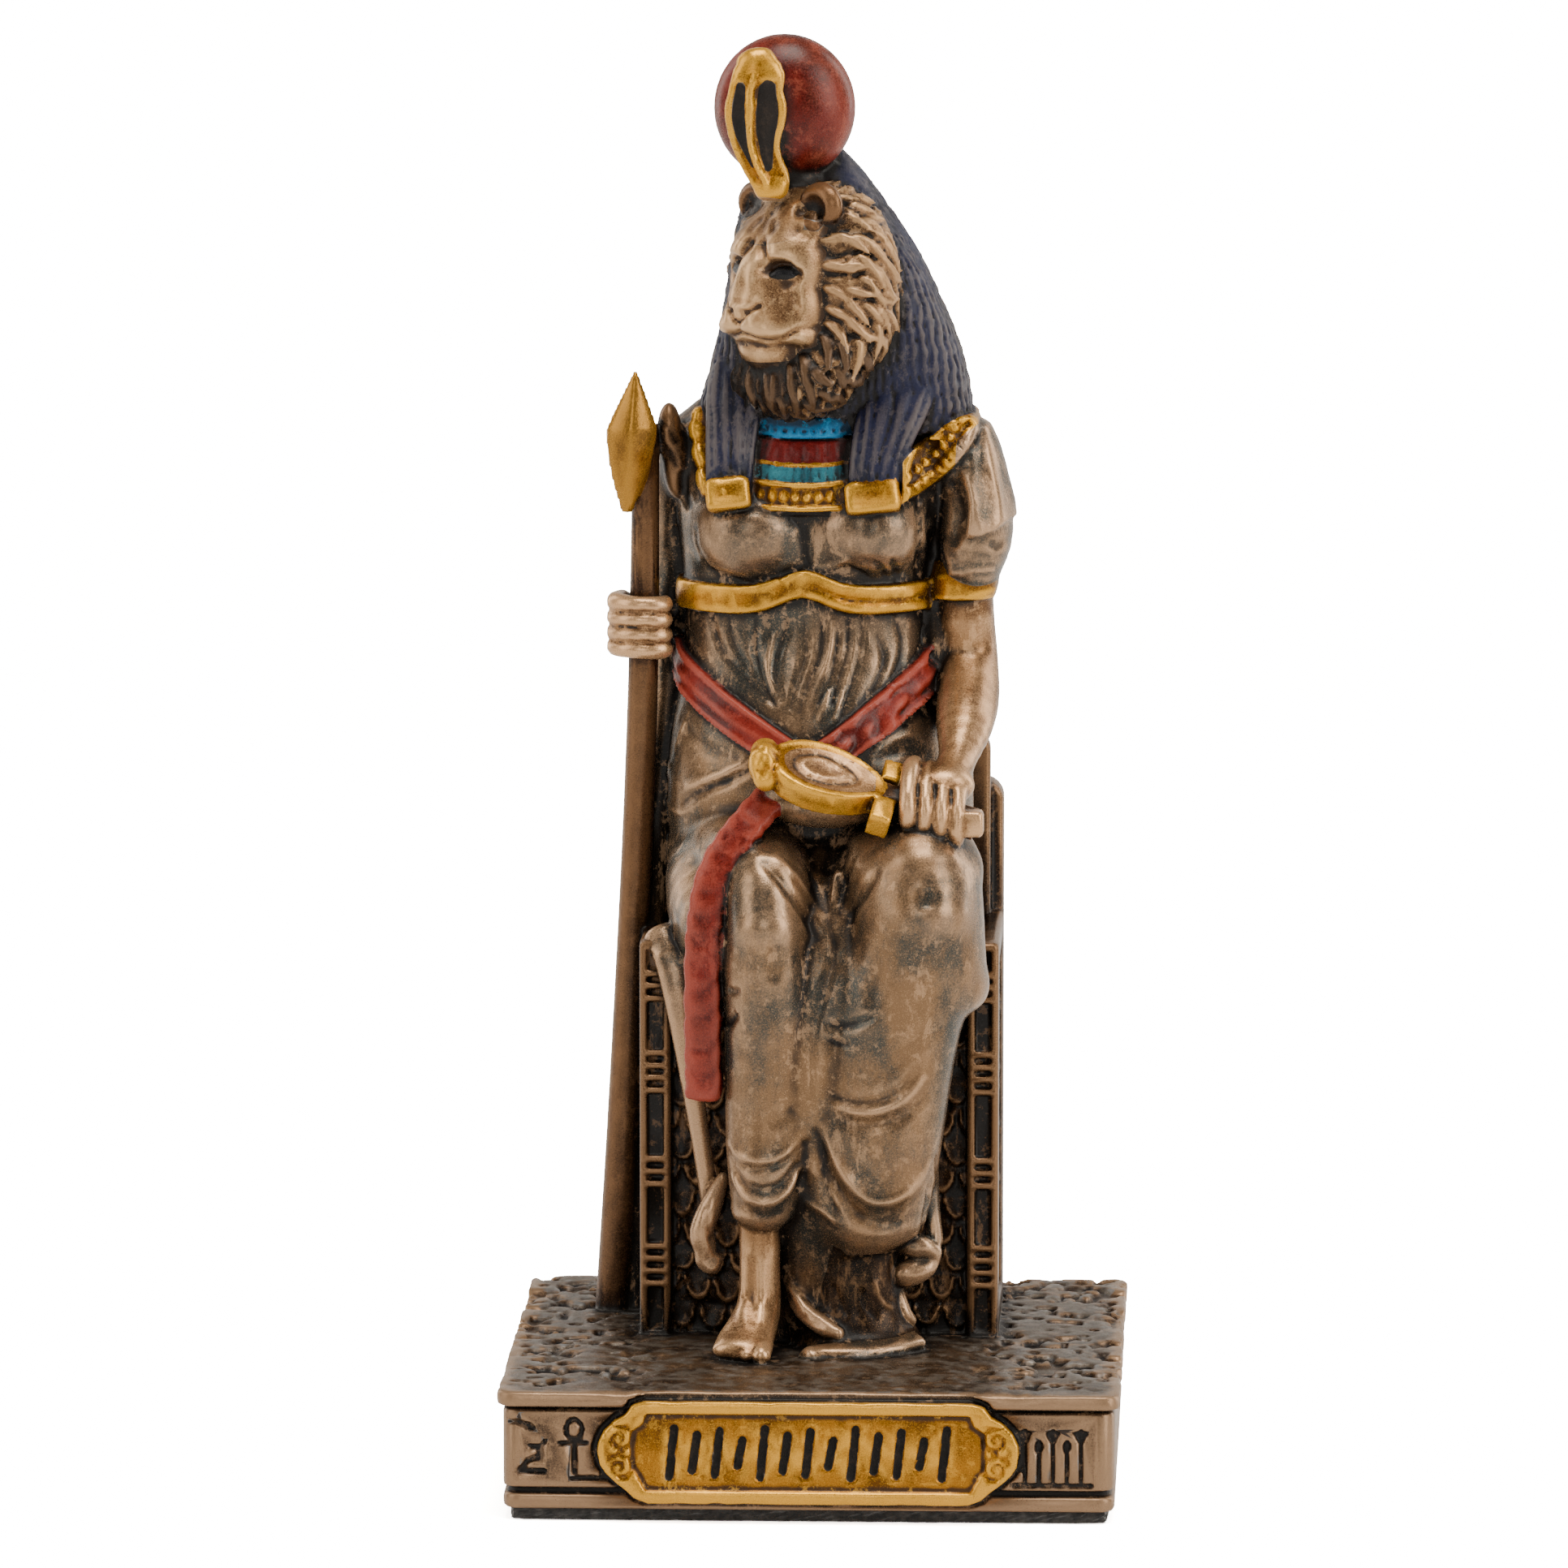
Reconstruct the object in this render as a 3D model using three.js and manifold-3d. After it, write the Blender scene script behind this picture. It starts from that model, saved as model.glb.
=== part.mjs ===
// A small seated lioness-headed goddess in cold-cast bronze: one casting of figure, throne, spear and
// plinth, and the felt glued under it. Millimetres, +Z up, the figure faces -Y.
// The origin is the middle of the felt's underside.
import * as THREE from 'three';
import { mergeVertices } from 'three/addons/utils/BufferGeometryUtils.js';
import Module from 'manifold-3d';

const wasm = await Module();
wasm.setup();

// Felt
const feltThickness = 0.8;
const feltInset = 0.3;

// Plinth: a block with a foot band, a frieze between two grooves, and a slab that stands proud
const plinthWidth = 38;
const plinthDepth = 38;
const plinthHeight = 7.3;
const plinthCorner = 1.1;
const slabThickness = 0.95;
const slabOverhang = 0.35;
const footBandHeight = 0.9;
const grooveHeight = 0.3;
const grooveDepth = 0.35;

// Name plate on the plinth's front
const plateWidth = 25.6;
const plateHeight = 6.5;
const plateThickness = 0.7;
const plateRim = 0.55;
const plateFieldDepth = 0.3;
const plateNotch = 0.95;
const plateStrokes = 7;
const strokeWidth = 0.4;
const strokeDepth = 0.25;

// Frieze of cut signs beside the plate
const signDepth = 0.25;
const signStem = 0.24;
const papyrusStems = 5;
const papyrusPitch = 0.98;
const papyrusHeight = 3.3;
const ankhSignHeight = 4.3;

// Throne
const throneWidth = 22.3;
const throneDepth = 16;
const throneFront = -0.6;
const seatHeight = 24.8;
const postWidth = 1.9;
const infillRecess = 1.1;
const panelRecess = 0.35;
const borderWidth = 1.1;
const ribHeight = 0.42;
const ribProud = 0.25;
const ribGroupPitch = 6.2;
const ribsInGroup = 2;
const scalePitch = 3.1;
const scaleProud = 0.35;
const backHeight = 33;
const backThickness = 2.8;
const innerBackHeight = 36.4;
const innerBackThickness = 1.6;
const innerBackInset = 0.8;
const backCorner = 1.3;

// Figure, from the plinth's top to the top of the sun disc
const figureHeight = 80.8;
const discRadius = 4.32;
const discThickness = 6;
const cobraWidth = 4;
const beltHeight = 1.75;
const beltProud = 0.45;
const collarProud = 0.4;
const sashWidth = 2.3;
const sashThickness = 1;
const sashProud = 0.55;
const fluteCount = 16;
const fluteDepth = 0.2;
const pleatCount = 11;
const pleatDepth = 0.28;

// Spear and ankh
const bladeLength = 8.9;
const bladeWidth = 3.2;
const bladeThickness = 1.9;
const shaftTopRadius = 0.92;
const shaftFootRadius = 1.2;
const ankhLength = 13.4;
const ankhThickness = 1;
const ankhLoopWidth = 4.9;
const ankhBarWidth = 5.2;

// How far joined forms run into each other
const embed = 0.1;

const plinthTop = feltThickness + plinthHeight;
const tau = Math.PI * 2;
const { lerp, clamp, smoothstep } = THREE.MathUtils;

// The figure is one free form. Its points are given in millimetres above the plinth's top, for a
// figure of this height, and they grow and shrink with figureHeight as one.
const modelledHeight = 80.8;
const grown = figureHeight / modelledHeight;

function pose(x, y, z) {
  return new THREE.Vector3(x * grown, y * grown, plinthTop + z * grown);
}

// Closed geometry as a solid that can be joined and cut.
function solid(geometry) {
  const bare = geometry.clone();
  bare.deleteAttribute('normal');
  bare.deleteAttribute('uv');
  const merged = mergeVertices(bare);
  return new wasm.Manifold(new wasm.Mesh({
    numProp: 3,
    vertProperties: merged.attributes.position.array,
    triVerts: new Uint32Array(merged.index.array),
  }));
}

function joined(solids) {
  return solids.reduce((whole, piece) => whole.add(piece));
}

function box(x0, x1, y0, y1, z0, z1) {
  const geometry = new THREE.BoxGeometry(x1 - x0, y1 - y0, z1 - z0);
  geometry.translate((x0 + x1) / 2, (y0 + y1) / 2, (z0 + z1) / 2);
  return solid(geometry);
}

// A flat outline given a thickness. place carries it from its own plane to the model.
function plate(outline, thickness, place, curveSegments = 2) {
  const settings = { depth: thickness, bevelEnabled: false, curveSegments };
  const geometry = new THREE.ExtrudeGeometry(outline, settings);
  geometry.applyMatrix4(place);
  return solid(geometry);
}

// A closed skin of rings. skin(t, angle) gives its points from the first ring, t = 0, to the last;
// angle 0 is the front of an upright body and a quarter turn is the viewer's right.
function loft(sides, steps, skin) {
  const geometry = new THREE.CylinderGeometry(1, 1, 1, sides, steps);
  const place = geometry.attributes.position;
  for (let i = 0; i < place.count; i += 1) {
    const t = place.getY(i) + 0.5;
    const onSkin = Math.hypot(place.getX(i), place.getZ(i)) > 0.5;
    const angle = Math.atan2(place.getX(i), place.getZ(i));
    const point = onSkin ? skin(t, angle) : skin(t, 0).add(skin(t, Math.PI)).multiplyScalar(0.5);
    place.setXYZ(i, point.x, point.y, point.z);
  }
  return solid(geometry);
}

// Rows of height, middle x, middle y, half width and half depth, read at any height.
function sections(rows) {
  return (height) => {
    const above = clamp(rows.findIndex((row) => row[0] >= height), 1, rows.length - 1);
    const [low, high] = [rows[above - 1], rows[above]];
    const share = clamp((height - low[0]) / (high[0] - low[0]), 0, 1);
    return low.map((value, i) => lerp(value, high[i], share));
  };
}

// A point on an upright body's skin, moved out by a distance. Squareness fills its four corners.
function onBody(body, height, angle, out = 0, squareness = 1) {
  const [, x, y, width, depth] = body(height);
  const swell = Math.max(Math.abs(Math.sin(angle)), Math.abs(Math.cos(angle))) ** (squareness - 1);
  return pose(
    x + (width * swell + out) * Math.sin(angle),
    y - (depth * swell + out) * Math.cos(angle),
    height,
  );
}

// An upright body with a ring at each row of its table.
function upright(rows, sides, relief = () => 0, squareness = 1) {
  const body = sections(rows);
  const skin = (t, angle) => {
    const height = rows[Math.round(t * (rows.length - 1))][0];
    return onBody(body, height, angle, relief(height, angle), squareness);
  };
  return loft(sides, rows.length - 1, skin);
}

// A limb along a smooth line through points of x, y, z, half width and half thickness. across is the
// direction of its width.
function limb(points, sides, steps, across = [1, 0, 0], squareness = 1) {
  const line = new THREE.CatmullRomCurve3(points.map(([x, y, z]) => pose(x, y, z)), false, 'catmullrom');
  const size = new THREE.SplineCurve(points.map(([, , , w, d]) => new THREE.Vector2(w, d ?? w)));
  const wide = new THREE.Vector3(...across);
  const skin = (t, angle) => {
    const along = line.getTangent(t);
    const side = wide.clone().addScaledVector(along, -wide.dot(along)).normalize();
    const front = side.clone().cross(along);
    const { x: w, y: d } = size.getPoint(t);
    const swell = Math.max(Math.abs(Math.sin(angle)), Math.abs(Math.cos(angle))) ** (squareness - 1);
    return line.getPoint(t)
      .addScaledVector(side, (w * grown * Math.sin(angle)) * swell)
      .addScaledVector(front, (d * grown * Math.cos(angle)) * swell);
  };
  return loft(sides, steps, skin);
}

// A ball whose radius in each direction is given by reach, in a frame of side, front and up.
function modelled(place, sides, rows, reach) {
  const geometry = new THREE.SphereGeometry(1, sides, rows);
  const points = geometry.attributes.position;
  for (let i = 0; i < points.count; i += 1) {
    const direction = new THREE.Vector3(points.getX(i), points.getY(i), points.getZ(i)).normalize();
    const point = place(direction.multiplyScalar(reach(direction)));
    points.setXYZ(i, point.x, point.y, point.z);
  }
  return solid(geometry);
}

function ellipsoid(x, y, z, rx, ry, rz, sides = 8, rows = 5) {
  const place = (d) => pose(x + d.x * rx, y - d.z * ry, z + d.y * rz);
  return modelled(place, sides, rows, () => 1);
}

// Felt and plinth

function roundedOblong(width, depth, corner) {
  const [x, y] = [width / 2, depth / 2];
  const outline = new THREE.Shape();
  outline.absarc(x - corner, y - corner, corner, 0, tau / 4);
  outline.absarc(corner - x, y - corner, corner, tau / 4, tau / 2);
  outline.absarc(corner - x, corner - y, corner, tau / 2, 3 * tau / 4);
  outline.absarc(x - corner, corner - y, corner, 3 * tau / 4, tau);
  return outline;
}

function slab(from, to, inset) {
  const outline = roundedOblong(plinthWidth - 2 * inset, plinthDepth - 2 * inset, plinthCorner);
  return plate(outline, to - from, new THREE.Matrix4().makeTranslation(0, 0, from), 1);
}

const friezeFoot = feltThickness + footBandHeight + grooveHeight;
const friezeTop = plinthTop - slabThickness - grooveHeight;
const friezeMiddle = (friezeFoot + friezeTop) / 2;
const friezeFront = slabOverhang - plinthDepth / 2;
const onFront = new THREE.Matrix4().makeRotationX(tau / 4);

// Carries a sign's outline to the plinth's front, with its thickness pointing out of the block.
function frontPlane(x, z, y) {
  return new THREE.Matrix4().makeTranslation(x, y, z).multiply(onFront);
}

// Carries an outline of depth and height to a plane across x, with its thickness towards +x.
function sidePlane(x) {
  return new THREE.Matrix4().makeBasis(
    new THREE.Vector3(0, 1, 0),
    new THREE.Vector3(0, 0, 1),
    new THREE.Vector3(1, 0, 0),
  ).setPosition(x, 0, 0);
}

function plinthBlock() {
  return joined([
    slab(feltThickness, friezeFoot - grooveHeight, slabOverhang),
    slab(feltThickness, plinthTop, slabOverhang + grooveDepth),
    slab(friezeFoot, friezeTop, slabOverhang),
    slab(plinthTop - slabThickness, plinthTop, 0),
  ]);
}

// The name plate's outline: an oblong with bitten corners and round ends.
function plateOutline(inset) {
  const [x, z] = [plateWidth / 2 - inset, plateHeight / 2 - inset];
  const end = plateHeight / 4 - inset / 2;
  const shoulder = x - 2 * plateNotch;
  const outline = new THREE.Shape();
  outline.moveTo(-shoulder, -z);
  outline.lineTo(shoulder, -z);
  outline.quadraticCurveTo(shoulder + plateNotch / 2, -end - plateNotch / 2, x - plateNotch / 2, -end);
  outline.quadraticCurveTo(x, -end, x, 0);
  outline.quadraticCurveTo(x, end, x - plateNotch / 2, end);
  outline.quadraticCurveTo(shoulder + plateNotch / 2, end + plateNotch / 2, shoulder, z);
  outline.lineTo(-shoulder, z);
  outline.quadraticCurveTo(-shoulder - plateNotch / 2, end + plateNotch / 2, plateNotch / 2 - x, end);
  outline.quadraticCurveTo(-x, end, -x, 0);
  outline.quadraticCurveTo(-x, -end, plateNotch / 2 - x, -end);
  outline.quadraticCurveTo(-shoulder - plateNotch / 2, -end - plateNotch / 2, -shoulder, -z);
  return outline;
}

const plateFloor = friezeFront + plateFieldDepth - plateThickness;

function namePlate() {
  const back = friezeFront + grooveDepth;
  const body = plate(plateOutline(0), plateThickness + grooveDepth, frontPlane(0, friezeMiddle, back));
  const field = plate(plateOutline(plateRim), plateThickness, frontPlane(0, friezeMiddle, plateFloor));
  return body.subtract(field);
}

// Plain strokes, tall and short, in the place of an inscription.
function plateStrokeCuts() {
  const span = plateWidth - 8 * plateNotch;
  const tall = plateHeight / 2 - 2.5 * plateRim;
  const [y0, y1] = [plateFloor - plateThickness, plateFloor + strokeDepth];
  return Array.from({ length: plateStrokes }, (_, i) => {
    const x = lerp(-span / 2, span / 2, i / (plateStrokes - 1)) - strokeWidth / 2;
    const half = i % 2 ? tall / 2 : tall;
    return box(x, x + strokeWidth, y0, y1, friezeMiddle - half, friezeMiddle + half);
  });
}

// Papyrus flowers and buds on a ground line, at the plate's right.
function papyrusCuts() {
  const inner = friezeFront + signDepth;
  const outer = friezeFront - signDepth;
  const ground = friezeMiddle - papyrusHeight / 2 - signStem;
  const first = plateWidth / 2 + papyrusPitch / 3;
  const last = first + papyrusPitch * (papyrusStems - 1);
  const cuts = [box(first - signStem, last + signStem, outer, inner, ground - signStem, ground)];
  for (let i = 0; i < papyrusStems; i += 1) {
    const x = first + i * papyrusPitch;
    const bud = i % 2 === 1;
    const tall = bud ? papyrusHeight * 0.75 : papyrusHeight;
    const spread = bud ? signStem * 0.9 : signStem * 1.5;
    const head = new THREE.Shape([
      new THREE.Vector2(-signStem / 2, 0),
      new THREE.Vector2(signStem / 2, 0),
      new THREE.Vector2(spread, 2.6 * signStem),
      new THREE.Vector2(-spread, 2.6 * signStem),
    ]);
    cuts.push(box(x - signStem / 2, x + signStem / 2, outer, inner, ground, ground + tall));
    cuts.push(plate(head, 2 * signDepth, frontPlane(x, ground + tall - signStem, inner)));
  }
  return cuts;
}

// A cut ankh on a ground line, at the plate's left.
function ankhSignCuts() {
  const inner = friezeFront + signDepth;
  const outer = friezeFront - signDepth;
  const x = -plateWidth / 2 - ankhSignHeight * 0.38;
  const foot = friezeMiddle - ankhSignHeight * 0.35;
  const bar = foot + ankhSignHeight * 0.46;
  const reach = ankhSignHeight * 0.23;
  const loop = new THREE.Shape();
  loop.absellipse(0, 0, signStem * 2.3, signStem * 3.1, 0, tau);
  const eye = new THREE.Path();
  eye.absellipse(0, 0, signStem * 1.25, signStem * 1.9, 0, tau, true);
  loop.holes.push(eye);
  return [
    box(x - reach, x + reach, outer, inner, bar, bar + signStem),
    box(x - signStem / 2, x + signStem / 2, outer, inner, foot, bar),
    box(x - signStem, x + 2 * reach, outer, inner, foot - 2 * signStem, foot - signStem),
    plate(loop, 2 * signDepth, frontPlane(x, bar + signStem * 3.5, inner), 3),
  ];
}

// Throne

const throneSide = throneWidth / 2;
const throneBack = throneFront + throneDepth;
const seatTop = plinthTop + seatHeight;

// A slab across the throne with its two top corners rounded off.
function backSlab(halfWidth, height, y0, y1) {
  const top = plinthTop + height;
  const outline = new THREE.Shape();
  outline.moveTo(-halfWidth, plinthTop);
  outline.lineTo(halfWidth, plinthTop);
  outline.absarc(halfWidth - backCorner, top - backCorner, backCorner, 0, tau / 4);
  outline.absarc(backCorner - halfWidth, top - backCorner, backCorner, tau / 4, tau / 2);
  return plate(outline, y1 - y0, frontPlane(0, 0, y1), 3);
}

// One course of the scale pattern: hanging half rounds side by side.
function scaleCourse(width, count) {
  const pitch = width / count;
  const outline = new THREE.Shape();
  outline.moveTo(0, scalePitch / 2);
  for (let i = 0; i < count; i += 1) {
    outline.lineTo(i * pitch, 0);
    outline.lineTo((i + 0.5) * pitch, -scalePitch * 0.35);
  }
  outline.lineTo(width, 0);
  outline.lineTo(width, scalePitch / 2);
  return outline;
}

// A post seen from its side, with ribs across its face in groups.
function postProfile() {
  const face = throneFront + ribProud;
  const rear = throneFront + infillRecess + borderWidth;
  const foot = plinthTop - embed;
  const outline = new THREE.Shape();
  outline.moveTo(rear, foot);
  outline.lineTo(face, foot);
  const highest = seatTop - ribGroupPitch / 4;
  for (let group = plinthTop + ribGroupPitch / 2; group < highest; group += ribGroupPitch) {
    for (let rib = 0; rib < ribsInGroup; rib += 1) {
      const low = group + 2 * rib * ribHeight;
      outline.lineTo(face, low);
      outline.lineTo(throneFront, low);
      outline.lineTo(throneFront, low + ribHeight);
      outline.lineTo(face, low + ribHeight);
    }
  }
  outline.lineTo(face, seatTop);
  outline.lineTo(rear, seatTop);
  return outline;
}

function throne() {
  const infill = throneFront + infillRecess;
  const backFront = throneBack - backThickness;
  const innerFront = backFront - innerBackThickness;
  const foot = plinthTop - embed;
  const panel = throneSide - panelRecess;
  const pieces = [
    box(-panel, panel, infill, throneBack - embed, foot, seatTop - borderWidth),
    backSlab(throneSide, backHeight, backFront, throneBack),
    backSlab(throneSide - innerBackInset, innerBackHeight, innerFront, backFront + embed),
  ];
  for (const side of [-1, 1]) {
    const inner = side * (throneSide - postWidth);
    const outer = side * throneSide;
    const [x0, x1] = [Math.min(inner, outer), Math.max(inner, outer)];
    pieces.push(plate(postProfile(), postWidth, sidePlane(x0)));
    pieces.push(box(x0, x1, infill, backFront + embed, seatTop - 1.5 * borderWidth, seatTop));
    pieces.push(box(x0, x1, infill, backFront + embed, foot, plinthTop + borderWidth));
    pieces.push(box(x0, x1, backFront - borderWidth, backFront + embed, foot, seatTop));
  }
  return joined(pieces);
}

// Courses of scales on the infill, at both sides of the legs.
function throneScales() {
  const sunk = 2 * embed;
  const back = throneFront + infillRecess + sunk;
  const inner = throneSide - postWidth;
  const pieces = [];
  for (let z = plinthTop + scalePitch; z < seatTop - 2 * borderWidth; z += scalePitch) {
    const place = (x) => frontPlane(x, z, back);
    pieces.push(plate(scaleCourse(inner * 0.6, 3), scaleProud + sunk, place(-inner)));
    pieces.push(plate(scaleCourse(inner * 0.2, 1), scaleProud + sunk, place(inner * 0.8)));
  }
  return pieces;
}

// Body and dress. Each row: height, middle x, middle y, half width, half depth.

const torsoRows = [
  [27, -0.3, 5.8, 9.2, 6.2],
  [31, -0.3, 5.4, 9.3, 6.4],
  [34.5, -0.6, 5.3, 9.0, 6.6],
  [37.5, -0.8, 5.4, 8.5, 6.0],
  [40.5, -1.0, 5.7, 7.8, 5.3],
  [43.4, -1.1, 5.8, 7.5, 4.8],
  [45.9, -1.1, 5.8, 7.5, 4.8],
  [48.2, -1.0, 5.8, 7.7, 5.0],
  [51.2, -0.6, 5.8, 8.4, 5.0],
  [53.4, -0.3, 5.9, 8.8, 4.8],
  [55.4, -0.1, 6.0, 8.6, 4.3],
  [57.4, -0.5, 5.8, 5.6, 3.7],
  [59, -0.8, 5.4, 3.4, 3.0],
];
const torso = sections(torsoRows);
const waist = 45.9;

// Pleats run down from the belt and fade out over the belly and at the back.
function pleats(height, angle) {
  const fade = smoothstep(height, 35, 40) * (1 - smoothstep(height, waist - 0.3, waist));
  const front = smoothstep(Math.cos(angle), -0.2, 0.4);
  return pleatDepth * fade * front * Math.cos(pleatCount * angle);
}

function torsoSolid() {
  return joined([
    upright(torsoRows, 2 * pleatCount, pleats),
    ellipsoid(-4.3, 4.2, 50.2, 3.9, 4.4, 3.7, 10, 6),
    ellipsoid(2.8, 4.2, 50.5, 3.8, 4.3, 3.6, 10, 6),
  ]);
}

// A ribbon round the torso between two heights that may change with the angle.
function band(low, high, out, sides = 20, steps = 1) {
  const skin = (t, angle) => {
    const height = lerp(low(angle), high(angle), t);
    return onBody(torso, height, angle, out);
  };
  return loft(sides, steps, skin);
}

// The belt under the breasts rises to a low peak in the middle.
function belt() {
  const peak = (angle) => 1.1 * Math.exp(-((angle / 0.4) ** 2));
  const low = (angle) => waist - beltHeight / 2 + peak(angle);
  return band(low, (angle) => low(angle) + beltHeight, beltProud);
}

// The bead collar lies low on the chest and climbs over the shoulders.
function collar() {
  const climb = (angle) => 4.4 * (1 - Math.cos(Math.min(Math.abs(angle), 1.7)));
  const rim = (angle) => 51.2 + Math.min(climb(angle), 4.6);
  const neckline = (angle) => Math.min(rim(angle) + 2.1, 57.2);
  return band(rim, neckline, collarProud);
}

function neck() {
  return upright([
    [52, -1.1, 4.9, 3.5, 4.1],
    [56.9, -1.1, 4.8, 3.0, 3.2],
    [60, -1.1, 4.8, 3.0, 3.0],
  ], 8);
}

// Lap, legs and skirt

const lapPoints = [
  [-0.3, 10.5, 28.6, 9.0, 5.4],
  [-0.4, 4.0, 28.4, 9.3, 5.6],
  [-0.2, 0.0, 28.0, 9.2, 4.9],
  [0.3, -2.6, 27.2, 8.0, 3.9],
  [0.7, -4.4, 26.4, 6.0, 2.4],
];
const rightLegRows = [
  [7.7, -3.3, -4.9, 1.2, 1.5],
  [8.3, -3.3, -4.9, 1.8, 2.1],
  [9.6, -3.1, -4.8, 2.2, 2.6],
  [11.4, -2.95, -4.7, 2.55, 2.8],
  [17.5, -2.95, -4.6, 2.7, 3.0],
  [21, -2.95, -4.5, 2.75, 3.4],
  [24.4, -3.0, -4.3, 2.85, 4.0],
  [27.2, -3.05, -3.8, 2.9, 4.0],
  [29.4, -3.1, -2.9, 2.7, 3.6],
  [31, -3.2, -1.8, 2.2, 2.8],
  [31.9, -3.2, -0.8, 1.2, 1.8],
];
const leftLegRows = [
  [6.4, 3.0, -4.4, 1.5, 1.8],
  [7.2, 3.5, -4.3, 2.7, 2.8],
  [9, 4.0, -4.2, 3.4, 3.3],
  [12, 4.1, -4.2, 3.7, 3.4],
  [18, 4.3, -4.2, 4.1, 3.6],
  [20.6, 4.6, -4.2, 4.35, 3.8],
  [23, 5.4, -4.2, 4.9, 4.1],
  [26, 5.7, -4.1, 4.6, 4.4],
  [28.6, 5.9, -3.9, 4.4, 4.6],
  [30.8, 5.8, -3.0, 4.2, 4.1],
  [32.2, 5.6, -1.8, 3.2, 3.0],
  [32.9, 5.5, -0.8, 1.8, 1.8],
];
const innerSkirtRows = [
  [-0.1, 2.7, -3.2, 4.1, 3.6],
  [0.5, 2.7, -3.2, 3.8, 3.4],
  [1.8, 2.6, -3.1, 3.1, 2.8],
  [4.5, 2.4, -3.2, 2.6, 2.4],
  [9, 2.4, -3.2, 2.9, 2.6],
];
const behindLegsRows = [
  [-0.1, 0.6, -1.6, 3.0, 2.2],
  [7, 0.8, -2.2, 4.2, 3.2],
  [11, 0.7, -3.2, 4.6, 3.5],
  [20, 0.8, -3.4, 5.4, 3.8],
  [28, 1.0, -2.6, 6.2, 4.4],
];

// Folds hang in curved rows at the shins' lower half.
function swags(low, high, middle) {
  return (height, angle) => {
    const fade = smoothstep(height, low, low + 2) * (1 - smoothstep(height, high - 3, high));
    const sag = 2.4 * Math.cos(angle - middle);
    return 0.22 * fade * Math.sin((height + sag) * 2.6);
  };
}

function skirts() {
  return joined([
    limb(lapPoints, 12, 4, [1, 0, 0], 0.72),
    upright(behindLegsRows, 8),
    upright(rightLegRows, 10, swags(7, 22, 0.5)),
    upright(leftLegRows, 12, swags(6, 24, -0.4)),
    upright(innerSkirtRows, 10),
    ellipsoid(9.2, -3.6, 23.2, 1.4, 2.2, 2.2, 6, 4),
  ]);
}

// The bare right foot, with five toes.
function foot() {
  const pieces = [
    limb([
      [-3.5, -4.9, 9.5, 1.35, 1.35],
      [-3.5, -4.8, 5.2, 1.25, 1.35],
      [-3.55, -4.8, 2.8, 1.35, 1.6],
      [-3.9, -5.9, 1.6, 1.5, 1.55],
      [-4.3, -7.4, 0.95, 1.75, 1.05],
      [-4.45, -8.6, 0.6, 1.85, 0.75],
    ], 8, 5),
    ellipsoid(-3.5, -4.1, 1.0, 1.1, 1.2, 1.2, 6, 4),
  ];
  for (let i = 0; i < 5; i += 1) {
    const x = -2.95 - i * 0.78;
    const big = i === 0 ? 1.25 : 1 - 0.07 * i;
    pieces.push(ellipsoid(x, -9.0 + 0.22 * i * i * 0.45, 0.5, 0.48 * big, 0.85 * big, 0.5 * big, 5, 3));
  }
  return joined(pieces);
}

// Cloth ends: the fold over the seat's corner, the bunch at its end, and the ruffles at the left ankle.
function clothEnds() {
  return joined([
    limb([
      [-9.6, 0.4, 25.2, 1.3, 0.6],
      [-8.9, -0.8, 23.4, 1.2, 0.6],
      [-8.2, -1.4, 18.5, 0.8, 0.5],
      [-7.3, -1.6, 12.5, 0.6, 0.5],
      [-6.7, -1.6, 8.6, 0.6, 0.6],
    ], 5, 3),
    limb([
      [-6.1, -1.9, 10.2, 0.5, 0.5],
      [-6.9, -2.4, 7.4, 0.9, 0.8],
      [-7.3, -2.3, 5.6, 1.0, 0.8],
      [-6.9, -2.2, 3.6, 0.7, 0.6],
    ], 6, 3),
    limb([
      [6.3, -1.6, 7.6, 0.7, 0.8],
      [6.8, -2.6, 5.6, 1.1, 1.0],
      [6.2, -3.2, 4.2, 1.0, 0.9],
      [5.4, -3.2, 1.8, 0.8, 0.9],
      [4.8, -3.0, 0.2, 0.9, 1.2],
    ], 6, 4),
    limb([
      [-0.9, -3.0, 7.6, 0.5, 0.7],
      [-1.0, -4.2, 3.6, 0.6, 0.7],
      [0.4, -5.0, 1.4, 0.6, 0.6],
      [1.6, -5.6, 0.5, 0.5, 0.5],
    ], 5, 3),
  ]);
}

// Red sash: it dips from the hips to the ankh, and its long end hangs over the right thigh.
function sash() {
  const middle = (angle) => 35.8 + Math.min(4 * Math.abs(angle), 6);
  const [half, deep] = [sashWidth / 2, sashThickness / 2];
  return joined([
    band((angle) => middle(angle) - half, (angle) => middle(angle) + half, sashProud, 14),
    limb([
      [-2.2, -2.6, 34.9, half, deep],
      [-4.4, -4.4, 32.6, half, deep],
      [-6.2, -5.2, 29.8, half, deep],
      [-6.9, -5.3, 26.0, half, deep],
      [-7.0, -5.1, 21.0, half, deep],
      [-6.95, -4.9, 16.1, half, deep],
    ], 6, 7, [1, -0.3, 0], 0.6),
  ]);
}

// Arms and hands

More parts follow.
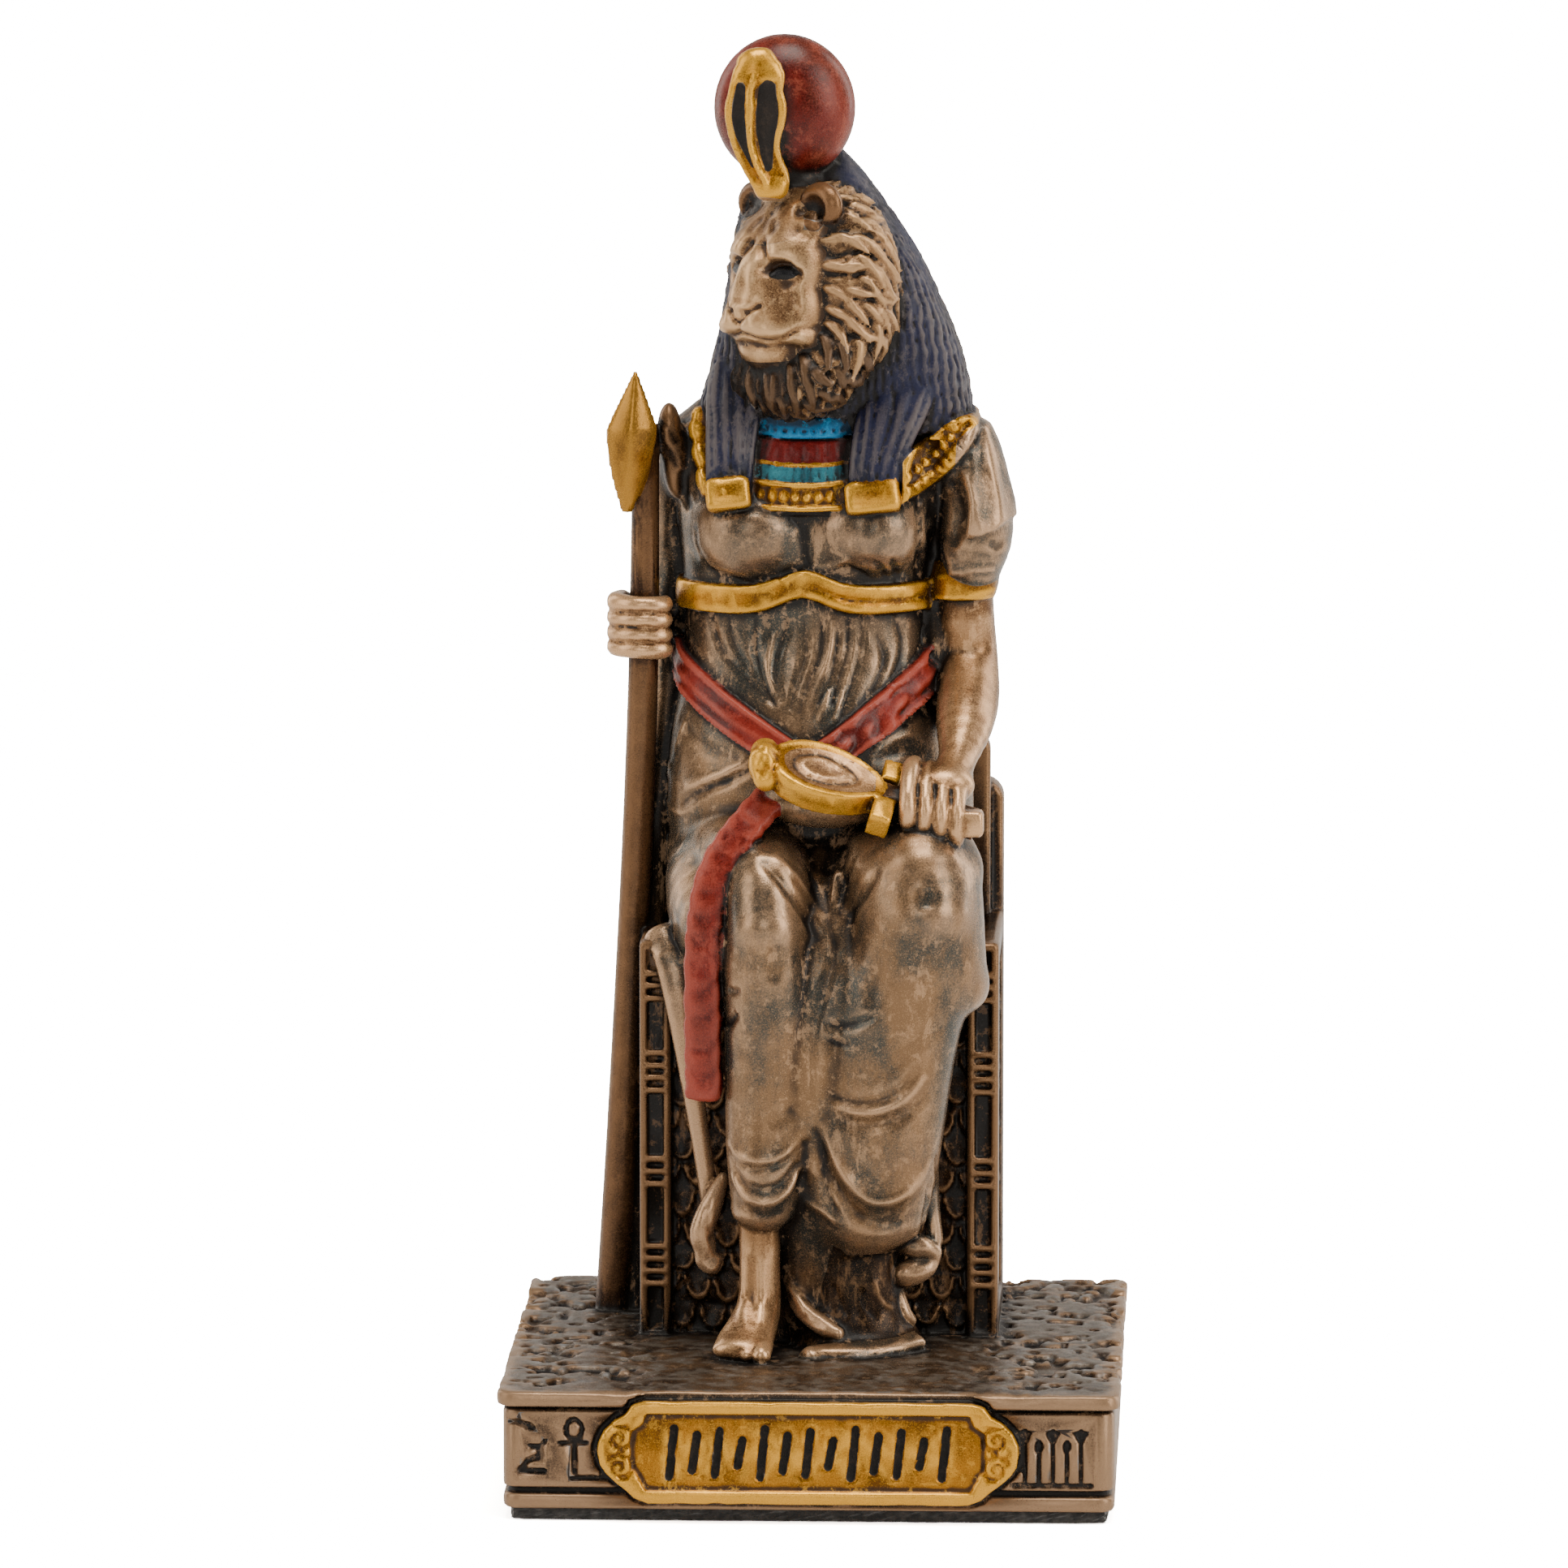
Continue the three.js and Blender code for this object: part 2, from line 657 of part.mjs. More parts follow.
// Four fingers side by side, curled round a grip: one sweep from the knuckles to the finger tips,
// as wide as the four, with a lobe for each.
function fist(middle, along, outward) {
  const curl = outward.clone().cross(along).normalize();
  const turns = [[-0.9, 1.7, 0.5], [0.5, 1.6, 0.6], [1.15, 0.2, 0.6], [0.6, -1.3, 0.55], [-0.6, -1.4, 0.4]];
  const line = new THREE.CatmullRomCurve3(turns.map(([out, round]) => middle.clone()
    .addScaledVector(outward, out).addScaledVector(curl, round)));
  const thick = new THREE.SplineCurve(turns.map(([, , r], i) => new THREE.Vector2(i, r)));
  return loft(16, 3, (t, angle) => {
    const side = along.clone().normalize();
    const front = side.clone().cross(line.getTangent(t)).normalize();
    const across = 1.9 * Math.sin(angle);
    const lobe = 0.85 + 0.22 * Math.cos(across * tau / 0.95 + tau / 2);
    const deep = thick.getPoint(t).y * Math.sign(Math.cos(angle)) * Math.abs(Math.cos(angle)) ** 0.6 * lobe;
    const point = line.getPoint(t).addScaledVector(side, across).addScaledVector(front, deep);
    return pose(point.x, point.y, point.z);
  });
}

function leftArm() {
  const sleeve = limb([
    [6.0, 6.0, 56.4, 1.6, 2.6],
    [8.2, 5.8, 55.0, 2.3, 3.0],
    [9.2, 5.6, 52.4, 2.3, 3.2],
    [9.5, 5.4, 49.8, 2.35, 3.3],
    [9.2, 5.2, 47.7, 1.95, 2.5],
  ], 8, 4);
  const cuff = limb([
    [9.0, 5.1, 47.5, 2.0, 2.1],
    [8.75, 5.1, 45.6, 2.0, 2.1],
  ], 8, 1);
  const arm = limb([
    [8.9, 5.3, 49.5, 1.6, 1.7],
    [8.9, 5.5, 45.0, 1.65, 1.75],
    [9.1, 5.9, 41.6, 1.75, 1.9],
    [9.1, 3.6, 39.4, 1.8, 1.75],
    [8.9, 1.0, 38.1, 1.6, 1.55],
    [8.6, -1.6, 36.6, 1.2, 1.2],
    [8.2, -3.2, 35.6, 1.25, 1.1],
  ], 8, 6);
  const drape = limb([
    [7.0, 7.6, 53, 2.0, 1.6],
    [7.4, 7.6, 46, 1.7, 1.4],
    [8.4, 7.6, 38, 1.6, 1.4],
    [9.0, 7.2, 31, 1.4, 1.8],
  ], 5, 2);
  const palm = ellipsoid(7.7, -3.9, 35.2, 2.0, 1.5, 1.3, 8, 5);
  const alongAnkh = new THREE.Vector3(0.96, 0, -0.28);
  const grip = fist(new THREE.Vector3(7.3, -4.6, 34.6), alongAnkh, new THREE.Vector3(0, -0.92, 0.38));
  return joined([sleeve, cuff, arm, drape, palm, grip]);
}

function rightArm() {
  const arm = limb([
    [-6.8, 6.4, 56.0, 1.9, 2.6],
    [-8.9, 7.2, 54.0, 1.7, 2.6],
    [-9.6, 8.6, 49.5, 1.5, 2.3],
    [-9.9, 9.6, 45.0, 1.4, 1.9],
    [-10.3, 8.6, 43.6, 1.4, 1.6],
    [-10.8, 6.4, 43.9, 1.25, 1.35],
    [-11.1, 5.2, 44.1, 1.3, 1.8],
  ], 7, 6);
  const alongShaft = new THREE.Vector3(0, 0, 1);
  const grip = fist(new THREE.Vector3(-11.1, 4.0, 44.1), alongShaft, new THREE.Vector3(-0.1, -1, 0));
  return joined([arm, grip]);
}

// Spear and ankh

function spear() {
  const shaft = limb([
    [-13.2, 8.0, -0.1, shaftFootRadius],
    [-12.5, 7.1, 11.1, shaftFootRadius * 0.94],
    [-11.75, 5.9, 26.0, shaftTopRadius * 1.08],
    [-11.3, 4.9, 36.0, shaftTopRadius * 1.03],
    [-11.05, 4.3, 44.1, shaftTopRadius],
    [-10.9, 4.0, 56.0, shaftTopRadius * 0.9],
  ], 8, 4);
  const web = limb([
    [-12.0, 8.2, -0.1, 1.4, 1.0],
    [-11.6, 7.4, 11, 1.2, 0.9],
    [-11.1, 6.6, 24, 1.0, 0.9],
    [-10.0, 8.6, 35, 1.5, 2.4],
    [-9.2, 8.8, 47, 1.7, 2.2],
    [-8.6, 7.8, 53, 1.4, 2.0],
  ], 5, 4);
  const foot = 51.1 * grown;
  const blade = loft(6, 5, (t, angle) => {
    const spread = t < 0.6 ? 0.22 + 0.78 * Math.sin(t / 0.6 * tau / 4) : 1 - 0.9 * ((t - 0.6) / 0.4);
    const middle = pose(lerp(-12.05, -11.5, t), 3.1, 0);
    return new THREE.Vector3(
      middle.x + bladeWidth / 2 * spread * Math.sin(angle + tau / 4),
      middle.y - bladeThickness / 2 * spread * Math.cos(angle + tau / 4),
      plinthTop + foot + t * bladeLength,
    );
  });
  return joined([shaft, web, blade]);
}

// The ankh's own plane: x along it towards its foot, y across it towards the back, z out of its face.
function ankh() {
  const along = new THREE.Vector3(0.958, 0, -0.287);
  const across = new THREE.Vector3(0.15, 0.81, 0.55);
  const face = along.clone().cross(across).normalize();
  const place = new THREE.Matrix4().makeBasis(along, face.clone().cross(along), face);
  place.setPosition(pose(-3.0, -4.6, 36.7));
  const half = ankhLoopWidth / 2;
  const cross = ankhLength * 0.56;
  const loop = new THREE.Shape();
  loop.moveTo(cross, 0.5);
  loop.bezierCurveTo(cross * 0.75, half, 0, half * 1.3, 0, 0);
  loop.bezierCurveTo(0, -half * 1.3, cross * 0.75, -half, cross, -0.5);
  const eye = new THREE.Path();
  eye.moveTo(cross * 0.8, 0);
  eye.bezierCurveTo(cross * 0.6, -half * 0.55, cross * 0.2, -half * 0.7, cross * 0.2, 0);
  eye.bezierCurveTo(cross * 0.2, half * 0.7, cross * 0.6, half * 0.55, cross * 0.8, 0);
  loop.holes.push(eye);
  const rod = new THREE.Shape([
    new THREE.Vector2(cross - 0.2, -0.55),
    new THREE.Vector2(ankhLength, -0.75),
    new THREE.Vector2(ankhLength, 0.75),
    new THREE.Vector2(cross - 0.2, 0.55),
  ]);
  const bar = new THREE.Shape([
    new THREE.Vector2(cross - 0.45, -ankhBarWidth / 2),
    new THREE.Vector2(cross + 0.85, -ankhBarWidth / 2),
    new THREE.Vector2(cross + 0.55, 0),
    new THREE.Vector2(cross + 0.85, ankhBarWidth / 2),
    new THREE.Vector2(cross - 0.45, ankhBarWidth / 2),
    new THREE.Vector2(cross - 0.15, 0),
  ]);
  return joined([
    plate(loop, ankhThickness, place, 4),
    plate(rod, ankhThickness, place),
    plate(bar, ankhThickness, place),
    ellipsoid(0.6, -2.6, 34.7, 4.2, 2.2, 1.9),
  ]);
}

// Head, in a frame of its own: side to the viewer's right, front along the muzzle, up.

const headTurn = THREE.MathUtils.degToRad(36);
const headMiddle = [-2.1, 2.4, 65];

function head(side, front, up) {
  const [x, y, z] = headMiddle;
  return pose(
    x + side * Math.cos(headTurn) - front * Math.sin(headTurn),
    y - side * Math.sin(headTurn) - front * Math.cos(headTurn),
    z + up,
  );
}

// Soft lumps of the face: side, front, up, and half sizes the same way. Each is seen from the
// head's middle, and the furthest one in a direction sets the skin there.
const faceLumps = [
  [0, -0.5, 1.2, 4.4, 2.8, 4.6],
  [0, 1.2, 3.1, 2.6, 1.2, 1.7],
  [1.75, 1.7, 2.3, 1.4, 0.9, 0.7],
  [-1.75, 1.7, 2.3, 1.4, 0.9, 0.7],
  [0, 2.1, 0.9, 1.0, 1.4, 2.3],
  [0, 3.3, -0.9, 1.2, 1.2, 0.95],
  [1.1, 2.5, -2.0, 1.5, 1.7, 1.4],
  [-1.1, 2.5, -2.0, 1.5, 1.7, 1.4],
  [2.6, 0.9, -0.5, 1.7, 1.4, 1.8],
  [-2.6, 0.9, -0.5, 1.7, 1.4, 1.8],
  [0, 0.4, -3.0, 3.0, 2.0, 2.3],
  [0, 2.0, -4.0, 1.4, 1.2, 1.2],
];

// How far a ray from the frame's middle runs before it leaves a lump for good.
function lumpReach(direction, [x, y, z, rx, ry, rz]) {
  const scaled = new THREE.Vector3(direction.x / rx, direction.z / ry, direction.y / rz);
  const centre = new THREE.Vector3(x / rx, y / ry, z / rz);
  const a = scaled.lengthSq();
  const b = scaled.dot(centre);
  const inside = b * b - a * (centre.lengthSq() - 1);
  return inside < 0 ? 0 : (b + Math.sqrt(inside)) / a;
}

function face() {
  const place = (p) => head(p.x, p.z, p.y);
  return modelled(place, 20, 13, (d) => {
    const reaches = faceLumps.map((lump) => lumpReach(d, lump));
    const most = Math.max(...reaches);
    const soft = reaches.reduce((sum, r) => sum + Math.exp((r - most) * 5), 0);
    return most + Math.log(soft) / 5 - 0.1;
  });
}

// The ruff of locks from the ears round under the chin.
function mane() {
  const place = (p) => head(p.x * 6.1, p.z * 3.3 - 2.2, p.y * 7.1 - 0.7);
  return modelled(place, 20, 8, (d) => {
    const round = Math.atan2(d.x, d.y);
    const back = Math.acos(clamp(d.z, -1, 1));
    const locks = Math.sin(round * 13 + back * 4) * 0.5 + Math.sin(round * 5 - back * 7) * 0.3;
    return 1 + 0.08 * locks * Math.sin(back) ** 2;
  });
}

function ear(side) {
  const place = (p) => head(
    side * 3.2 + p.x * 1.55,
    0.8 + p.z * (p.z > 0 ? 0.15 : 1.1),
    5.1 + p.y * 1.65,
  );
  const rim = modelled(place, 7, 4, () => 1);
  const hollow = (p) => head(side * 3.35 + p.x * 0.95, 1.0 + p.z * 0.7, 5.2 + p.y * 1.0);
  return rim.subtract(modelled(hollow, 5, 3, () => 1));
}

const wigRows = [
  [56, 0.9, 6.2, 8.1, 4.2],
  [57.6, 0.85, 6.1, 8.3, 4.7],
  [60.5, 1.0, 5.9, 7.6, 5.0],
  [64.4, 0.6, 5.7, 6.5, 5.0],
  [67.6, 0.05, 5.5, 5.4, 4.7],
  [70.3, -0.55, 5.3, 4.2, 4.0],
  [72.4, -1.0, 5.1, 2.8, 2.8],
  [73.6, -1.2, 5.0, 1.0, 1.2],
];

function wig() {
  const flutes = (height, angle) => {
    const fade = smoothstep(73 - height, 0, 3);
    return fade * fluteDepth * Math.cos(fluteCount * angle);
  };
  const lappet = (points) => limb(points, 8, 4, [1, 0, 0], 0.7);
  return joined([
    upright(wigRows, 2 * fluteCount, flutes, 0.55),
    lappet([
      [4.4, 3.9, 61, 2.2, 1.8],
      [4.1, 2.1, 58, 2.0, 1.5],
      [3.5, 0.9, 55, 1.7, 1.1],
      [3.15, 0.35, 52.0, 1.5, 0.8],
    ]),
    lappet([
      [-5.3, 3.8, 61.5, 1.9, 1.5],
      [-5.7, 2.4, 58.5, 1.8, 1.3],
      [-5.75, 1.2, 55.4, 1.6, 1.0],
      [-5.75, 0.65, 52.5, 1.5, 0.8],
    ]),
    limb([[3.2, 0.3, 53.2, 1.62, 1.05], [3.1, 0.2, 51.7, 1.62, 1.05]], 8, 1, [1, 0, 0], 0.3),
    limb([[-5.75, 0.6, 53.7, 1.62, 1.05], [-5.8, 0.5, 52.2, 1.62, 1.05]], 8, 1, [1, 0, 0], 0.3),
  ]);
}

// Sun disc and cobra

function crown() {
  const top = figureHeight / grown;
  const radius = discRadius / grown;
  const middle = top - radius;
  const disc = modelled(
    (p) => pose(-2.3 + p.x * radius, 4.0 - p.z * discThickness / 2, middle + p.y * radius),
    14, 6, () => 1,
  );
  const stand = upright([
    [70, -1.9, 3.8, 3.2, 2.2],
    [72.6, -2.1, 3.9, 2.4, 1.8],
    [73.8, -2.2, 3.9, 1.9, 1.5],
  ], 6);
  const hood = cobraWidth / 2;
  const cobra = limb([
    [-3.6, 0.5, 70.6, hood * 0.55, 0.6],
    [-3.65, 0.3, 72.6, hood * 0.72, 0.6],
    [-3.8, 0.0, 75.4, hood, 0.65],
    [-4.0, 0.1, 78, hood * 0.85, 0.8],
    [-4.25, 0.3, 79.6, hood * 0.55, 0.8],
    [-4.25, 0.6, 80.2, hood * 0.25, 0.4],
  ], 8, 5);
  const back = limb([
    [-3.4, 1.6, 71, 1.2, 1.4],
    [-3.6, 1.6, 75, 1.2, 1.6],
    [-3.9, 1.6, 78.5, 0.9, 1.4],
  ], 5, 2);
  return joined([disc, stand, cobra, back]);
}

// The two pieces

function casting() {
  const whole = joined([
    plinthBlock(), namePlate(), throne(), ...throneScales(),
    torsoSolid(), belt(), collar(), neck(), skirts(), foot(), clothEnds(), sash(),
    leftArm(), rightArm(), spear(), ankh(),
    face(), mane(), ear(1), ear(-1), wig(), crown(),
  ]);
  const cut = [...plateStrokeCuts(), ...papyrusCuts(), ...ankhSignCuts()]
    .reduce((rest, tool) => rest.subtract(tool), whole);
  // the body itself, without the specks of air shut in where its forms meet
  return cut.decompose().reduce((most, body) => (body.volume() > most.volume() ? body : most));
}

function felt() {
  const inset = slabOverhang + feltInset;
  const outline = roundedOblong(plinthWidth - 2 * inset, plinthDepth - 2 * inset, plinthCorner);
  return plate(outline, feltThickness, new THREE.Matrix4(), 1);
}

function namedMesh(name, body, colour, roughness, metalness) {
  const { numProp, vertProperties, triVerts } = body.getMesh();
  const geometry = new THREE.BufferGeometry();
  const places = new Float32Array(triVerts.length * 3);
  triVerts.forEach((vertex, i) => {
    places.set(vertProperties.subarray(vertex * numProp, vertex * numProp + 3), i * 3);
  });
  geometry.setAttribute('position', new THREE.BufferAttribute(places, 3));
  geometry.computeVertexNormals();
  const material = new THREE.MeshStandardMaterial({ color: colour, roughness, metalness });
  const mesh = new THREE.Mesh(geometry, material);
  mesh.name = name;
  return mesh;
}

const statue = new THREE.Group();
statue.add(namedMesh('sekhmet_statue', casting(), '#7d6046', 0.42, 0.75));
statue.add(namedMesh('felt_pad', felt(), '#17150f', 0.95, 0));

export default statue;
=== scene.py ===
import bpy
import math
import numpy as np
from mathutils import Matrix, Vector


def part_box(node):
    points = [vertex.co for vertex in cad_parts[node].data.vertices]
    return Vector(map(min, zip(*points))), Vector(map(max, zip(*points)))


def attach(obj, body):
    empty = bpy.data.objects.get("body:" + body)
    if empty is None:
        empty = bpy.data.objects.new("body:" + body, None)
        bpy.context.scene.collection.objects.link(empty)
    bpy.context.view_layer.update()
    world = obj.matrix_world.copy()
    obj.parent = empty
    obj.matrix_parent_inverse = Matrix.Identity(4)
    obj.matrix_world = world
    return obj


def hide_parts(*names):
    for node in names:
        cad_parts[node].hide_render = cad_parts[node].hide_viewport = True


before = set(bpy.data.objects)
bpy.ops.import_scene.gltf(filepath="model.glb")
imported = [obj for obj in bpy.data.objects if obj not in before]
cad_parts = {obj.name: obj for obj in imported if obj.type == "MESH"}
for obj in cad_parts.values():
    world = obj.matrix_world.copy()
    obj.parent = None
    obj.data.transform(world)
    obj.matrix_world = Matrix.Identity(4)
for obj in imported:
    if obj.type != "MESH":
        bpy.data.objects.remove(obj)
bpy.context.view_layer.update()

# The table is a smooth, pale sweep that the statue stands on in a photographer's light tent, with
# soft boxes round it. The camera stands well back, a little above and a little to the viewer's right.


def placed(name, data):
    """A new object in the scene, at the origin."""
    made = bpy.data.objects.new(name, data)
    bpy.context.collection.objects.link(made)
    return made


table = bpy.data.meshes.new("table")
reach, bend_start, bend_radius = 3.0, 0.35, 0.5
profile = [(-reach, 0.0), (bend_start, 0.0)]
for turn in np.linspace(0, math.pi / 2, 13)[1:]:
    profile.append((bend_start + bend_radius * math.sin(turn), bend_radius * (1 - math.cos(turn))))
profile.append((bend_start + bend_radius, reach))
table.from_pydata(
    [(x, y, z) for y, z in profile for x in (-reach, reach)],
    [],
    [(2 * i, 2 * i + 1, 2 * i + 3, 2 * i + 2) for i in range(len(profile) - 1)],
)
table_top = placed("table", table)


class Wire:
    """A socket in a material's tree. Shader maths on it is written as plain arithmetic."""

    def __init__(self, tree, socket=None):
        self.tree, self.socket = tree, socket

    def plug(self, target, value):
        if isinstance(value, Wire):
            self.tree.links.new(value.socket, target)
        else:
            target.default_value = value

    def node(self, kind, settings=None, values=None, out=0):
        made = self.tree.nodes.new("ShaderNode" + kind)
        for name, value in (settings or {}).items():
            setattr(made, name, value)
        for name, value in (values or {}).items():
            self.plug(made.inputs[name], value)
        return Wire(self.tree, made.outputs[out])

    def maths(self, operation, *values):
        return self.node("Math", {"operation": operation}, dict(enumerate(values)))

    def __add__(self, other):
        return self.maths("ADD", self, other)

    def __sub__(self, other):
        return self.maths("SUBTRACT", self, other)

    def __mul__(self, other):
        return self.maths("MULTIPLY", self, other)

    def __rsub__(self, other):
        return self.maths("SUBTRACT", other, self)

    def clipped(self):
        return self.node("Clamp", values={"Value": self})

    def ramp(self, low, high):
        """0 below low and 1 above high, with a soft step between them."""
        return self.node("MapRange", {"interpolation_type": "SMOOTHSTEP"},
                         {"Value": self, "From Min": low, "From Max": high})

    def mix(self, low, high):
        """The colour low where this is 0 and high where it is 1."""
        return self.node("Mix", {"data_type": "RGBA"}, {0: self, 6: low, 7: high}, out=2)

    def blend(self, low, high):
        return self.node("Mix", {"data_type": "FLOAT"}, {0: self, 2: low, 3: high})

    def dress(self, shader, values):
        """Sets or connects the shader's sockets of those names."""
        for name, value in values.items():
            self.plug(shader.inputs[name], value)

    def noise(self, scale, detail=2.0, roughness=0.5, stretch=None):
        place = self
        if stretch:
            place = self.node("VectorMath", {"operation": "MULTIPLY"}, {0: self, 1: stretch})
        return self.node("TexNoise", values={
            "Vector": place, "Scale": scale, "Detail": detail, "Roughness": roughness})


def material(name):
    """A new material as (material, its Principled shader, a wire with the Object coordinates)."""
    made = bpy.data.materials.new(name)
    made.use_nodes = True
    tree = made.node_tree
    place = Wire(tree).node("TexCoord", out="Object")
    return made, tree.nodes["Principled BSDF"], place


table_look, shader, place = material("table")
shade = place.noise(3.0).ramp(0.2, 0.8).mix((0.86, 0.86, 0.86, 1), (0.88, 0.88, 0.88, 1))
place.dress(shader, {"Base Color": shade, "Roughness": 0.6})
bright = place.node("BsdfDiffuse", values={"Color": (16.0, 16.0, 16.0, 1)})
seen = place.node("LightPath", out="Is Camera Ray")
mixed = place.node("MixShader", values={0: seen, 1: Wire(place.tree, shader.outputs[0]), 2: bright})
place.plug(place.tree.nodes["Material Output"].inputs["Surface"], mixed)
table.materials.append(table_look)

view_yaw, view_tilt = math.radians(2.2), math.radians(8.67)
view_distance, view_height, view_shift = 0.7752, 42.74e-3, -2.189e-3
view_centre = Vector((view_shift * math.cos(view_yaw), view_shift * math.sin(view_yaw), view_height))
pixels_per_metre, picture_side = 19914, 1932
backwards = Vector((
    math.sin(view_yaw) * math.cos(view_tilt),
    -math.cos(view_yaw) * math.cos(view_tilt),
    math.sin(view_tilt),
))
camera_data = bpy.data.cameras.new("camera")
camera_data.lens = camera_data.sensor_width * view_distance * pixels_per_metre / picture_side
camera_data.clip_end = 20
camera = placed("camera", camera_data)
camera.location = view_centre + backwards * view_distance
camera.rotation_euler = backwards.to_track_quat("Z", "Y").to_euler()
bpy.context.scene.camera = camera

tent_middle = (0, 0, 0.045)
warm = (1, 0.94, 0.86)
soft_boxes = {
    "left": ((-0.55, -0.22, 0.30), (0.35, 0.6), 2.3),
    "right": ((0.55, -0.30, 0.32), (0.35, 0.6), 4.3),
    "top": ((0.05, -0.15, 0.75), (0.4, 0.4), 5.6),
    "front": ((-0.1, -0.7, 0.25), (0.3, 0.3), 1.0),
    "left rim": ((-0.45, 0.30, 0.22), (0.2, 0.6), 1.6),
    "right rim": ((0.45, 0.30, 0.22), (0.2, 0.6), 2.0),
}
for name, (spot, size, power) in soft_boxes.items():
    light = bpy.data.lights.new(name, "AREA")
    light.shape = "RECTANGLE"
    light.size, light.size_y = size
    light.energy, light.color = power, warm
    lamp = placed(name, light)
    lamp.location = spot
    lamp.rotation_euler = (Vector(spot) - Vector(tent_middle)).to_track_quat("Z", "Y").to_euler()
world = bpy.data.worlds.new("tent")
world.use_nodes = True
sky = world.node_tree.nodes["Background"].inputs
sky["Color"].default_value = (1, 1, 1, 1)
sky["Strength"].default_value = 0.13
bpy.context.scene.world = world

# The felt is a thin black pad, die-cut a little smaller than the plinth and glued under it. Its
# cut edge wanders a little in and out.

felt_low, felt_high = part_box("felt_pad")
felt_height = felt_high.z - felt_low.z
felt_steps, felt_layers = 90, 5
rng = np.random.default_rng(7)


def felt_ring(inset, height, wander):
    """Points round the pad at one height, with the edge wandering in and out."""
    half = (felt_high - felt_low) / 2 - Vector((inset, inset, 0))
    points = []
    for i in range(4 * felt_steps):
        side, share = divmod(i, felt_steps)
        along = 2 * share / felt_steps - 1
        edge = [(1, along), (-along, 1), (-1, -along), (along, -1)][side]
        push = 1 - wander * rng.random()
        round_off = 1 - 0.012 * (abs(edge[0] * edge[1])) ** 12
        points.append((edge[0] * half.x * push * round_off, edge[1] * half.y * push * round_off, height))
    return points


rows = [felt_ring(0.4e-3, felt_low.z, 0.002)]
for layer in range(felt_layers):
    height = felt_low.z + felt_height * (0.1 + 0.8 * layer / (felt_layers - 1))
    rows.append(felt_ring(0, height, 0.009))
rows.append(felt_ring(0.4e-3, felt_high.z, 0.002))
around = 4 * felt_steps
pad = bpy.data.meshes.new("felt")
pad_points = [p for row in rows for p in row] + [(0, 0, felt_low.z), (0, 0, felt_high.z)]
pad_faces = []
for start in range(0, (len(rows) - 1) * around, around):
    for i in range(around):
        here, beside = start + i, start + (i + 1) % around
        pad_faces.append((here, beside, beside + around, here + around))
bottom, top = len(pad_points) - 2, len(pad_points) - 1
last = (len(rows) - 1) * around
pad_faces += [(bottom, (i + 1) % around, i) for i in range(around)]
pad_faces += [(top, last + i, last + (i + 1) % around) for i in range(around)]
pad.from_pydata(pad_points, [], pad_faces)
felt = placed("felt", pad)

felt_look, shader, place = material("felt")
fleck = place.noise(1800, detail=4)
place.dress(shader, {
    "Base Color": fleck.ramp(0.35, 0.75).mix((0.006, 0.006, 0.006, 1), (0.035, 0.032, 0.03, 1)),
    "Roughness": 0.95,
    "Sheen Weight": 0.4,
    "Normal": place.node("Bump", values={"Height": fleck, "Strength": 0.6, "Distance": 1e-4}),
})
pad.materials.append(felt_look)
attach(felt, "root")
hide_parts("felt_pad")

# The plinth is the foot of the one casting: a block with a foot band, a frieze between two cut
# grooves, and a slab of rough stone on top. It is modelled in clay, in millimetres above the slab's
# top, and the whole clay is skinned as one piece at the end.

box_low, box_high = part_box("sekhmet_statue")
figure_height = 80.8
slab_top = box_high.z * 1000 - figure_height
plinth_foot = box_low.z * 1000 - slab_top
half_slab = box_high.x * 1000
pitch = 0.17
far = 3.0


class Form:
    """A shape as a distance from its skin, less than nothing inside, and the corners of its room."""

    def __init__(self, distance, low, high):
        self.distance = distance
        self.low, self.high = np.array(low, float), np.array(high, float)


